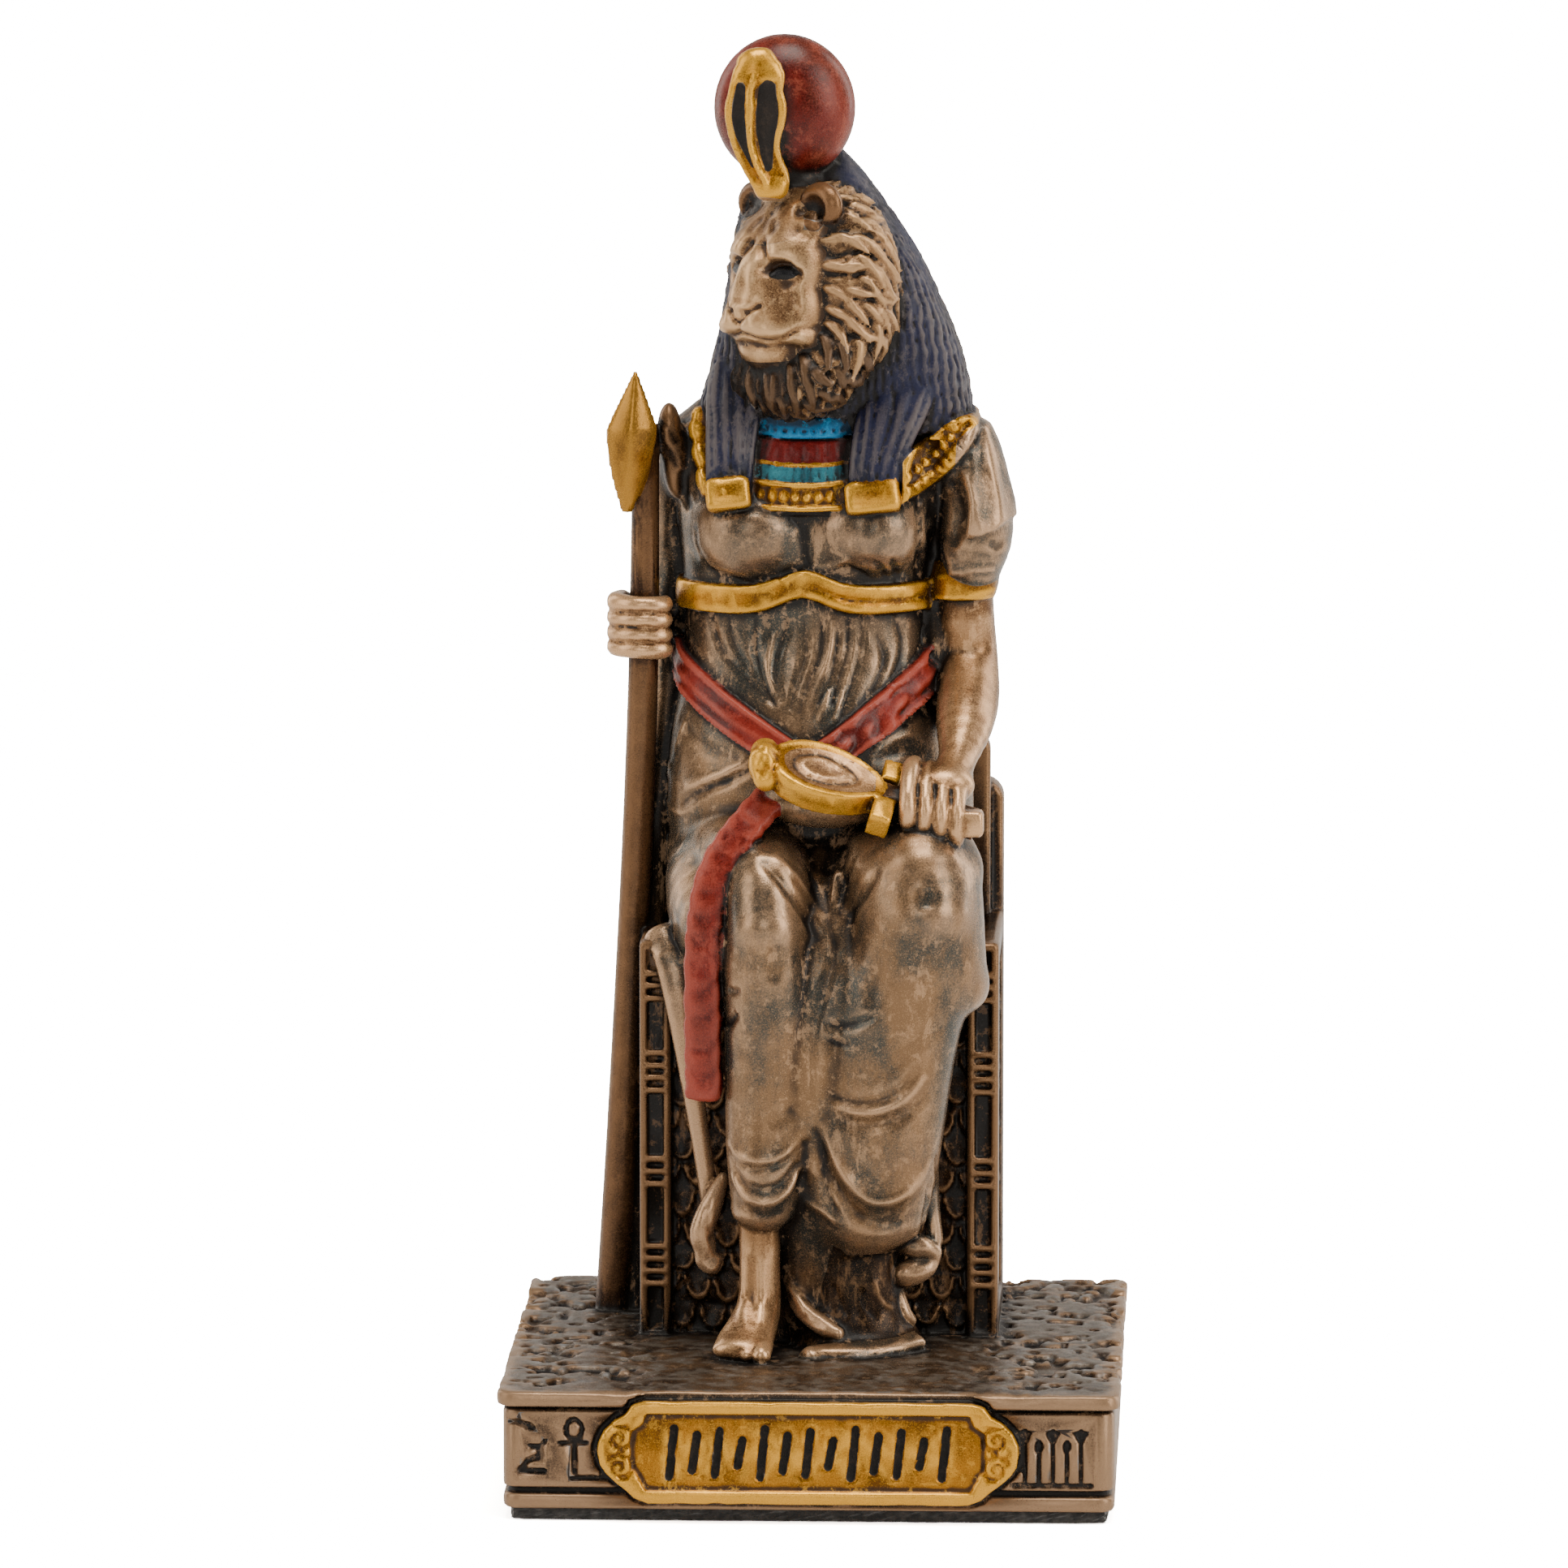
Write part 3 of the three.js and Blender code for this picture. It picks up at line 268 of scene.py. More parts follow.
class Clay:
    """A block of room that forms are added to and cut from."""

    def __init__(self, low, high):
        self.low = np.array(low, float)
        steps = np.ceil((np.array(high) - self.low) / pitch).astype(int) + 1
        self.field = np.full(steps, far, np.float32)
        self.painted = []

    def window(self, low, high, margin):
        """The field between two corners, with its places as three flat axes."""
        first = np.floor((np.array(low) - margin - self.low) / pitch).astype(int)
        last = np.ceil((np.array(high) + margin - self.low) / pitch).astype(int) + 1
        first, last = np.maximum(first, 0), np.minimum(last, self.field.shape)
        axes = [(self.low[i] + pitch * np.arange(first[i], last[i])).astype(np.float32) for i in range(3)]
        room = self.field[first[0]:last[0], first[1]:last[1], first[2]:last[2]]
        return room, (axes[0][:, None, None], axes[1][None, :, None], axes[2][None, None, :])

    def merge(self, form, soft, sign):
        """Joins a form to the clay where sign is 1, and takes it away where sign is -1."""
        margin = 1.2
        room, places = self.window(form.low, form.high, margin)
        clay, apart = sign * room, form.distance(*places)
        if soft:
            share = np.clip(0.5 + 0.5 * (clay - apart) / soft, 0, 1)
            clay += (apart - clay) * share - soft * share * (1 - share)
        else:
            clay = np.minimum(clay, apart)
        room[...] = sign * clay

    def add(self, form, paint, soft=0.0):
        self.merge(form, soft, 1)
        self.painted.append((form, paint))

    def cut(self, form, soft=0.0):
        self.merge(form, soft, -1)

    def tint(self, form, paint):
        """Paint alone, where the form lies."""
        self.painted.append((form, paint))

    def lay(self, outline, reach, height, paint):
        """Raises the skin inside an outline seen from the front, between two depths, and paints it."""
        low_x, low_z = np.min(outline, axis=0)
        high_x, high_z = np.max(outline, axis=0)
        low, high = (low_x, reach[0], low_z), (high_x, reach[1], high_z)
        room, (x, y, z) = self.window(low, high, 0.3)
        room -= height(x, z) * step(0.1, -0.1, within(x, z, outline))
        self.tint(Form(lambda x, y, z: within(x, z, outline) * 0.8 + 0.3, low, high), paint)

    def press(self, points, width, depth, fade=0.6):
        """Presses a groove along a line of points, or raises a ridge where the depth is below nothing."""
        points = np.array(points, float)
        room, (x, y, z) = self.window(points.min(0), points.max(0), 2.4 * width)
        nearest = np.full(room.shape, 1e6, np.float32)
        share = np.zeros(room.shape, np.float32)
        count = len(points) - 1
        for i in range(count):
            start, step = points[i], points[i + 1] - points[i]
            dx, dy, dz = x - start[0], y - start[1], z - start[2]
            along = np.clip((dx * step[0] + dy * step[1] + dz * step[2]) / max(step @ step, 1e-9), 0, 1)
            gap = (dx - along * step[0]) ** 2 + (dy - along * step[1]) ** 2 + (dz - along * step[2]) ** 2
            closer = gap < nearest
            nearest = np.where(closer, gap, nearest)
            share = np.where(closer, (i + along) / count, share)
        strength = np.clip(np.sin(math.pi * share), 0, 1) ** fade if fade else 1.0
        room += depth * strength * np.exp(-nearest / width ** 2)

    def seen(self, x, z):
        """The place on the skin that the camera sees where a line at the origin's depth would be."""
        y = np.arange(self.low[1] + 1, self.low[1] + pitch * (self.field.shape[1] - 2), pitch)
        line = np.stack([x - y * math.tan(view_yaw), y, z - y * math.tan(view_tilt)], axis=1)
        cells = np.round((line - self.low) / pitch).astype(int)
        cells = np.clip(cells, 0, np.array(self.field.shape) - 1)
        met = self.field[tuple(cells.T)]
        first = np.argmax(met < 0)
        if first == 0:
            return line[len(y) // 2]
        share = met[first - 1] / (met[first - 1] - met[first])
        return line[first - 1] + share * (line[first] - line[first - 1])

    def on_front(self, points, steps=14):
        """A smooth line drawn on the skin as the camera sees it, through points of x and height."""
        return [self.seen(x, z) for x, z in smooth(points, steps)]

    def draw(self, folds, fade):
        """Presses a list of drawn lines, each with its width and depth."""
        for points, width, depth in folds:
            self.press(self.on_front(points), width, depth, fade)


def smooth(points, steps):
    """Points along a smooth line through the given ones."""
    points = np.array(points, float)
    if len(points) < 3:
        share = np.linspace(0, 1, steps)[:, None]
        return points[0] + share * (points[-1] - points[0])
    padded = np.vstack([2 * points[0] - points[1], points, 2 * points[-1] - points[-2]])
    at = np.linspace(0, len(points) - 1, steps)
    k = np.minimum(at.astype(int), len(points) - 2)
    t = (at - k)[:, None]
    a, b, c, d = (padded[k + j] for j in range(4))
    bend, twist = 2 * a - 5 * b + 4 * c - d, 3 * b - a - 3 * c + d
    return 0.5 * (2 * b + (c - a) * t + bend * t ** 2 + twist * t ** 3)


def rounded(side, flat, edge):
    """The distance to the corner between two faces, with that round edge on it."""
    outside = np.hypot(np.maximum(side, 0), np.maximum(flat, 0))
    return outside + np.minimum(np.maximum(side, flat), 0) - edge


def block(low, high, corner=0.0, edge=0.1):
    """A box with round upright corners and softened edges."""
    low, high = np.array(low, float), np.array(high, float)
    middle, half = (low + high) / 2, (high - low) / 2
    corner = max(corner, edge)

    def distance(x, y, z):
        wide, deep = abs(x - middle[0]) - half[0] + corner, abs(y - middle[1]) - half[1] + corner
        return rounded(rounded(wide, deep, corner) + edge, abs(z - middle[2]) - half[2] + edge, edge)

    return Form(distance, low, high)


def grain(size, seed, *places):
    """Smooth noise from -1 to 1 with lumps of about that size."""
    lattice_size = 4096
    lattice = np.random.default_rng(seed).uniform(-1, 1, lattice_size).astype(np.float32)
    corners, shares = [], []
    for v in places:
        cell = np.floor(v / size)
        t = v / size - cell
        corners.append(cell.astype(np.int64))
        shares.append(t * t * (3 - 2 * t))
    primes = (73856093, 19349663, 83492791)
    total = 0
    for corner in range(2 ** len(places)):
        weight, key = 1.0, 0
        for i, (cell, t) in enumerate(zip(corners, shares)):
            bit = corner >> i & 1
            weight = weight * (t if bit else 1 - t)
            key = key ^ ((cell + bit) * primes[i])
        total = total + weight * lattice[key & (lattice_size - 1)]
    return total


def step(low, high, v):
    """0 below low, 1 above high and a soft step between."""
    t = np.clip((v - low) / (high - low), 0, 1)
    return t * t * (3 - 2 * t)


slab_thickness, thin_groove, wide_groove, foot_band = 0.95, 0.2, 0.42, 0.9
overhang, groove_depth, plinth_corner = 0.35, 0.4, 1.1
half_frieze = half_slab - overhang
frieze_foot = plinth_foot + foot_band + wide_groove
frieze_top = -slab_thickness - thin_groove


def course(half, low, high, edge):
    """A square layer of the plinth."""
    return block((-half, -half, low), (half, half, high), plinth_corner, edge)


clay = Clay((-19.6, -20.0, plinth_foot - 0.5), (19.6, 19.6, figure_height + 0.5))
clay.add(course(half_slab, -slab_thickness, 0, 0.22), "stone")
clay.add(course(half_frieze - groove_depth, plinth_foot, 0, 0.05), "shade")
clay.add(course(half_frieze, frieze_foot, frieze_top, 0.12), "stone")
clay.add(course(half_frieze, plinth_foot, plinth_foot + foot_band, 0.15), "stone")

room, (x, y, z) = clay.window((-19.5, -19.5, -1.0), (19.5, 19.5, 0.3), 0.2)
rough_side = np.maximum(step(8.5, 12.5, abs(x)), step(2, 8, y))
rough_front = step(-17.4, -15.5, y) * (1 - step(18.2, 18.8, np.maximum(abs(x), abs(y))) * 0.5)
lumps = grain(2.3, 1, x, y) * 0.6 + grain(1.1, 2, x, y) * 0.55 + grain(0.55, 3, x, y) * 0.35
pits = step(0.05, 0.45, lumps) * 0.42 + step(0.5, 0.7, grain(0.9, 5, x, y)) * 0.3
fine = grain(0.7, 4, x, y) * 0.035 + 0.03 * lumps
room += np.where(z > -0.8, (pits * rough_side * rough_front + fine + 0.02) * step(-0.9, -0.3, z), 0)
edge_wear = step(0.1, 0.8, grain(2.6, 6, x, y, z * 0.4)) * step(18.3, 18.9, np.maximum(abs(x), abs(y)))
room += 0.16 * edge_wear * step(-0.7, -0.1, z)

# The name plate is cast on the plinth's front: a raised, round-ended panel with a rim, painted gold.
# A row of plain cut strokes fills its field, and a pair of scrolls fills each of its ends.


def near_line(x, z, points):
    """How far places in the front's plane are from a line of points."""
    gap = 1e3
    for (ax, az), (bx, bz) in zip(points, points[1:]):
        dx, dz = bx - ax, bz - az
        along = np.clip(((x - ax) * dx + (z - az) * dz) / (dx * dx + dz * dz), 0, 1)
        gap = np.minimum(gap, np.hypot(x - ax - along * dx, z - az - along * dz))
    return gap


def within(x, z, outline):
    """The distance to a closed outline, less than nothing inside."""
    loop = list(outline) + [outline[0]]
    inside = np.zeros(np.broadcast(x, z).shape, bool)
    for (ax, az), (bx, bz) in zip(loop, loop[1:]):
        if az != bz:
            inside ^= ((az > z) != (bz > z)) & (x < ax + (z - az) * (bx - ax) / (bz - az))
    return near_line(x, z, loop) * np.where(inside, -1, 1)


def spiral(x, z, middle, size, side):
    points = []
    for t in np.linspace(0, 3.4 * math.pi, 24):
        across, rise = side * size * t / 11 * math.cos(t), size * t / 11 * math.sin(t)
        points.append((middle[0] + across, middle[1] + rise))
    return near_line(x, z, points)


plate_middle, plate_thickness, scroll_at, field_depth, stroke_depth = -3.68, 0.75, 11.45, 0.3, 0.3
plate_end = [
    (9.9, -0.48), (10.7, -0.72), (11.15, -1.35), (11.8, -1.72), (12.45, -2.35), (12.8, -3.1),
    (12.86, -3.7), (12.72, -4.4), (12.3, -5.0), (11.75, -5.5), (11.1, -6.0), (10.55, -6.5), (9.8, -6.8),
]
field_end = [
    (9.85, -1.25), (10.1, -1.9), (10.7, -2.3), (10.85, -3.6), (10.75, -4.6), (10.35, -5.2), (9.9, -6.02),
]
plate_outline = plate_end + [(-px, pz) for px, pz in reversed(plate_end)]
field_outline = field_end + [(-px, pz) for px, pz in reversed(field_end)]
stroke_lines = []
stroke_count = 13
for i in range(stroke_count):
    middle_x = -8.3 + 16.6 * i / (stroke_count - 1)
    half = (1.5, 1.1, 1.35, 0.8)[i % 4]
    stroke_lines.append([(middle_x - 0.15, plate_middle - half), (middle_x + 0.15, plate_middle + half)])


def plate_strokes(x, z):
    return np.min([near_line(x, z, line) for line in stroke_lines], axis=0) - 0.28


def plate_relief(x, z):
    """How far the plate's face is cut back from its rim."""
    field = within(x, z, field_outline)
    wear = grain(1.3, 21, x, z) * 0.03 + grain(0.5, 22, x, z) * 0.025
    cut = field_depth * step(-0.1, 0.12, -field)
    cut = cut + 0.1 * step(0.25, 0.0, abs(field + 0.15)) + wear
    cut = cut + stroke_depth * step(0.06, -0.1, plate_strokes(x, z))
    for side in (-1, 1):
        for height in (-2.75, -4.55):
            gap = spiral(x, z, (side * scroll_at, height), 0.8, -side)
            dish = step(0.95, 0.75, np.hypot(x - side * scroll_at, z - height))
            cut = cut + 0.2 * dish - 0.26 * step(0.22, 0.05, gap)
    return cut


def plate_distance(x, y, z):
    side = within(x, z, plate_outline) + grain(0.8, 23, x, z) * 0.05
    face = plate_relief(x, z) - half_frieze - plate_thickness - y
    edge = 0.16
    return np.maximum(rounded(side + edge, face + edge, edge), y + half_frieze - 0.5)


plate_low, plate_high = (-13, -half_frieze - plate_thickness - 0.1, -6.9), (13, -half_frieze + 0.5, -0.4)
clay.add(Form(plate_distance, plate_low, plate_high), "gold")
clay.tint(Form(
    lambda x, y, z: np.maximum(plate_strokes(x, z) + 0.02, y + half_frieze + 0.1), plate_low, plate_high,
), "shade")


def moat(x, y, z):
    """A shallow ditch in the frieze, close round the plate."""
    side = within(x, z, plate_outline)
    return np.maximum(np.maximum(abs(side - 0.12) - 0.22, y + half_frieze - 0.22), -side)


clay.cut(Form(moat, plate_low, plate_high))

# The frieze beside the plate has small signs cut in it and filled with dark wash: an ankh on a line,
# an eye and a seated zigzag at one side, and a clump of papyrus at the other.

sign_depth = 0.32
eye_outline = [
    (-18.4, -1.85), (-17.7, -1.8), (-17.0, -1.95), (-16.4, -2.5), (-17.2, -2.45), (-17.6, -2.15),
    (-18.3, -2.0),
]
seated = [(-16.0, -3.0), (-16.4, -3.5), (-17.0, -3.4)]
seated_fold = [(-16.4, -3.6), (-16.3, -4.1), (-17.1, -4.3), (-17.6, -4.95), (-16.15, -4.98)]


def signs(x, z):
    across, rise = x + 14.28, z + 2.4
    loop = abs(np.hypot(across / 0.78, rise) - 0.62) - 0.17
    parts = [
        loop,
        near_line(x, z, [(-14.28, -3.1), (-14.27, -5.0)]) - 0.17,
        near_line(x, z, [(-15.15, -3.22), (-13.5, -3.2)]) - 0.16,
        near_line(x, z, [(-14.5, -5.4), (-12.1, -5.4)]) - 0.16,
        within(x, z, eye_outline) - 0.03,
        near_line(x, z, [(-17.66, -1.4), (-17.62, -1.9)]) - 0.07,
        near_line(x, z, seated) - 0.13,
        near_line(x, z, seated_fold) - 0.19,
        near_line(x, z, [(12.5, -5.68), (17.2, -5.68)]) - 0.16,
    ]
    for i in range(5):
        stem, bud = 13.18 + 0.85 * i, i % 2
        top = -2.9 if bud else -2.35
        parts.append(near_line(x, z, [(stem, -5.6), (stem, top)]) - 0.12)
        if bud:
            parts.append((np.hypot((x - stem) / 0.62, z + 3.25) - 0.42) * 0.7)
        else:
            flower = [(stem - 0.12, -2.95), (stem - 0.5, -2.25), (stem - 0.28, -2.33), (stem, -2.15),
                      (stem + 0.28, -2.33), (stem + 0.5, -2.25), (stem + 0.12, -2.95)]
            parts.append(within(x, z, flower) - 0.04)
    return np.min(np.broadcast_arrays(*parts), axis=0) + grain(0.4, 24, x, z) * 0.03


for low_x, high_x in ((-18.7, -11.9), (12.4, 17.5)):
    room_low, room_high = (low_x, -half_frieze - 0.3, -6.2), (high_x, -half_frieze + sign_depth, -1.2)
    sunk = lambda x, y, z: np.maximum(signs(x, z), y + half_frieze - sign_depth)
    clay.cut(Form(sunk, room_low, room_high))
    clay.tint(Form(lambda x, y, z: np.maximum(signs(x, z) - 0.03, y + half_frieze - 2 * sign_depth),
                   room_low, room_high), "shade")

# The throne is a square seat with ribbed corner posts, panels of scales between them, and a double
# back. It is cast with the figure, in dark bronze.

throne_side, throne_front, throne_back, seat_top = 11.15, -0.6, 15.4, 24.8
post_width, infill_front = 1.95, 0.55
back_front, inner_back_front = 12.6, 11.0


def board(low, high, corner, edge):
    """A board across the throne with its upper corners rounded."""
    turned = block((low[0], low[2], low[1]), (high[0], high[2], high[1]), corner, edge)
    return Form(lambda x, y, z: turned.distance(x, z, y), low, high)


def scales(across, height, width, rise):
    """Hanging round scales in courses: how far each stands out at a place on a face, 0 to 1."""
    course_at = height / rise
    row = np.floor(course_at)
    most = 0
    for shift in (0, 1):
        drop = course_at - row + shift
        sideways = (across / width + 0.5 * ((row - shift) % 2)) % 1 - 0.5
        reach = np.hypot(sideways * 2, (1.15 - drop) * 0.95)
        lip = step(1.02, 0.86, reach)
        most = np.maximum(most, lip * (0.45 + 0.55 * step(0.55, 0.9, reach)) * (1 - 0.35 * shift))
    return most


def infill(x, y, z):
    stand = 0.42 * scales(x, z + 0.3 * grain(3, 31, x, z), 1.9, 1.75) + 0.08 * grain(0.8, 32, x, z)
    return np.maximum(infill_front - stand - y, np.maximum(abs(x) - 10.4, z - seat_top + 0.6))


clay.add(block((-10.6, infill_front + 0.3, -0.3), (10.6, 13, seat_top - 0.8), 0, 0.3), "throne")
clay.add(Form(infill, (-10.5, infill_front - 0.6, -0.2), (10.5, infill_front + 1.0, seat_top)), "throne")


def side_panel(x, y, z):
    stand = 0.3 * scales(y, z, 2.0, 1.8) + 0.05 * grain(0.9, 33, y, z)
    return np.maximum(abs(x) - 10.65 - stand, np.maximum(abs(y - 6.5) - 6.0, abs(z - 12) - 12))


for side in (-1, 1):
    low_x, high_x = sorted((side * 10.2, side * 11.0))
    clay.add(Form(side_panel, (low_x, 0.5, 0), (high_x, 12.6, 24)), "throne")
    outer, inner = side * throne_side, side * (throne_side - post_width)
    low_x, high_x = sorted((outer, inner))
    post = block((low_x, throne_front, -0.3), (high_x, throne_front + 2.1, seat_top), 0.25, 0.3)
    clay.add(post, "throne")
    channel_low, channel_high = low_x + 0.48, high_x - 0.48
    channel_back = throne_front + 0.34
    clay.cut(block((channel_low, throne_front - 1, 0.3), (channel_high, channel_back, seat_top - 0.5)), 0.1)
    for group, ribs in ((22.0, 3), (16.6, 4), (10.3, 3), (4.4, 4)):
        for rib in range(ribs):
            height = group + (rib - (ribs - 1) / 2) * 0.78
            rib_low = (low_x + 0.12, throne_front - 0.06, height - 0.2)
            rib_high = (high_x - 0.12, throne_front + 0.5, height + 0.2)
            clay.add(block(rib_low, rib_high, 0.2, 0.16), "throne", 0.1)
    rail_low, rail_high = sorted((side * 10.0, outer))
    for low_z, high_z in ((seat_top - 1.6, seat_top), (-0.3, 1.1)):
        clay.add(block((rail_low, 0, low_z), (rail_high, 13, high_z), 0, 0.3), "throne", 0.1)
    clay.add(block((rail_low, 11.4, -0.3), (rail_high, 13, seat_top), 0, 0.3), "throne", 0.1)

clay.add(board((-throne_side, back_front, -0.8), (throne_side, throne_back, 33.0), 1.3, 0.3), "throne")
clay.add(board((-10.35, inner_back_front, -0.8), (10.35, back_front + 0.2, 36.4), 1.3, 0.3), "throne", 0.1)
clay.cut(board((-9.6, throne_back - 0.35, 1.6), (9.6, throne_back + 0.5, 31.4), 0.8, 0.1), 0.1)


def back_panel(x, y, z):
    stand = 0.28 * scales(x, z, 2.3, 2.1) + 0.05 * grain(0.9, 34, x, z)
    return np.maximum(y - throne_back + 0.32 - stand, np.maximum(abs(x) - 9.0, abs(z - 16.5) - 14.2))


clay.add(Form(back_panel, (-9, throne_back - 0.8, 2.3), (9, throne_back + 0.1, 30.7)), "throne")

# The body in its long robe. The cloth is thin and clings: round breasts, a narrow waist with pleats
# drawn down to one point under the belt, broad hips on the seat.


def eased(rows):
    """Reads a table of heights at any height, with smooth curves between its rows."""
    rows = np.array(rows, float)
    marks, values = rows[:, 0], rows[:, 1:]
    slopes = np.gradient(values, marks, axis=0)

    def read(height):
        at = np.clip(height, marks[0], marks[-1])
        k = np.clip(np.searchsorted(marks, at) - 1, 0, len(marks) - 2)
        gap = marks[k + 1] - marks[k]
        t = (at - marks[k]) / gap
        a, b = 2 * t ** 3 - 3 * t ** 2 + 1, 3 * t ** 2 - 2 * t ** 3
        c, d = (t ** 3 - 2 * t ** 2 + t) * gap, (t ** 3 - t ** 2) * gap
        return [(a * v[k] + b * v[k + 1] + c * s[k] + d * s[k + 1]).astype(np.float32)
                for v, s in zip(values.T, slopes.T)]

    return read


def upright_gap(read, x, y, z, power):
    """The sideways distance from an upright body's skin, and the angle round it from its front."""
    middle_x, middle_y, wide, deep = read(z)
    dx, dy = x - middle_x, y - middle_y
    share = (abs(dx / wide) ** power + abs(dy / deep) ** power) ** (1 / power) + 1e-4
    return (1 - 1 / share) * np.hypot(dx, dy), np.arctan2(dx, -dy)


def room_round(rows, margin):
    """The sideways corners of the room that an upright body takes up."""
    rows = np.array(rows, float)
    reach = rows[:, 3:].max(0) + margin
    return rows[:, 1:3].min(0) - reach, rows[:, 1:3].max(0) + reach


def upright(rows, power=2, relief=None):
    """A body with a row for each height: middle x and y, half width and half depth."""
    read = eased(rows)
    low, high = room_round(rows, 0.4)
    foot, head = rows[0][0], rows[-1][0]

    def distance(x, y, z):
        gap, angle = upright_gap(read, x, y, z, power)
        if relief:
            gap = gap - relief(z, angle)
        return np.maximum(gap, abs(z - (foot + head) / 2) - (head - foot) / 2)

    return Form(distance, (*low, foot), (*high, head))


def band(rows, middle, half, out, relief=None):
    """A ribbon round a body, at a height that changes with the angle."""
    read = eased(rows)
    low, high = room_round(rows, 1)
    heights = [middle(np.array(a)) for a in np.linspace(-math.pi, math.pi, 25)]
    soft = 0.18

    def distance(x, y, z):
        gap, angle = upright_gap(read, x, y, z, 2)
        across = z - middle(angle)
        face = gap - out + soft - (relief(across, angle) if relief else 0)
        return rounded(face, abs(across) - half + soft, soft)

    return Form(distance, (*low, min(heights) - half), (*high, max(heights) + half))


def sweep(points, across=(1, 0, 0), power=2, steps=16, relief=None):
    """A limb along a smooth line through points of x, y, z, half width and half thickness."""
    rows = [(*p, p[3]) if len(p) == 4 else p for p in points]
    line = smooth(rows, steps)
    line[:, 3:] = np.maximum(line[:, 3:], 0.05)
    reach = line[:, 3:].max(1)[:, None]
    sideways = np.array(across, float)

    def distance(x, y, z):
        best = far
        for i, (a, b) in enumerate(zip(line, line[1:])):
            axis = b[:3] - a[:3]
            length = np.linalg.norm(axis)
            axis = axis / length
            side = sideways - axis * (sideways @ axis)
            side /= np.linalg.norm(side)
            face = np.cross(side, axis)
            dx, dy, dz = x - a[0], y - a[1], z - a[2]
            along = dx * axis[0] + dy * axis[1] + dz * axis[2]
            t = np.clip(along / length, 0, 1)
            wide, deep = a[3] + t * (b[3] - a[3]), a[4] + t * (b[4] - a[4])
            u, v = dx * side[0] + dy * side[1] + dz * side[2], dx * face[0] + dy * face[1] + dz * face[2]
            past = along - t * length
            share = abs(u / wide) ** power + abs(v / deep) ** power
            share = (share + abs(past / np.minimum(wide, deep)) ** power) ** (1 / power) + 1e-4
            gap = (1 - 1 / share) * np.sqrt(u * u + v * v + past * past)
            if relief:
                gap = gap - relief((i + t) / (len(line) - 1), u / wide, v / deep)
            best = np.minimum(best, gap)
        return best

    return Form(distance, (line[:, :3] - reach).min(0), (line[:, :3] + reach).max(0))


def ball(middle, radii):
    """A ball with its own half size along each axis."""
    radii = np.array(radii, float)

    def distance(x, y, z):
        parts = [(v - m, r) for v, m, r in zip((x, y, z), middle, radii)]
        near = np.sqrt(sum((p / r) ** 2 for p, r in parts))
        steep = np.sqrt(sum((p / r ** 2) ** 2 for p, r in parts))
        return near * (near - 1) / (steep + 1e-6)

    return Form(distance, middle - radii, middle + radii)


# Four enlarged parts of the photograph: the millimetres at a part's left and top edge, and how many
# one of its pixels stands for across and up.
chest_part = (-13.538, 59.327, 0.016717, 0.016909)
waist_part = (-13.54, 45.10, 0.016739, 0.016932)
knee_part = (-12.534, 30.881, 0.016013, 0.016198)
hem_part = (-14.542, 13.610, 0.017292, 0.017492)


def picked(part, folds):
    """Folds in millimetres, from points picked in the pixels of an enlarged part."""
    left, top, across, up = part
    return [([(round(left + across * px, 2), round(top - up * pz, 2)) for px, pz in points], width, depth)
            for points, width, depth in folds]


torso_rows = [
    (27, -0.3, 5.8, 9.2, 6.2), (31, -0.3, 5.4, 9.3, 6.4), (34.5, -0.6, 5.3, 9.0, 6.6),
    (37.5, -0.8, 5.4, 8.5, 6.0), (40.5, -1.0, 5.7, 7.8, 5.3), (43.4, -1.1, 5.8, 7.5, 4.8),
    (45.9, -1.1, 5.8, 7.5, 4.8), (48.2, -1.0, 5.8, 7.7, 5.0), (51.2, -0.6, 5.8, 8.4, 5.0),
    (53.4, -0.3, 5.9, 8.8, 4.8), (55.4, -0.1, 6.0, 8.6, 4.3), (57.4, -0.5, 5.8, 5.6, 3.7),
    (59, -0.8, 5.4, 3.4, 3.0),
]
neck_rows = [(52, -1.1, 4.9, 3.5, 4.1), (56.9, -1.1, 4.8, 3.0, 3.2), (60, -1.1, 4.8, 3.0, 3.0)]
clay.add(upright(torso_rows), "robe", 0.3)
clay.add(ball((-4.3, 3.8, 50.1), (3.8, 4.3, 3.5)), "robe", 0.5)
clay.add(ball((2.9, 3.8, 50.4), (3.8, 4.2, 3.4)), "robe", 0.5)
clay.add(upright(neck_rows), "robe", 0.6)
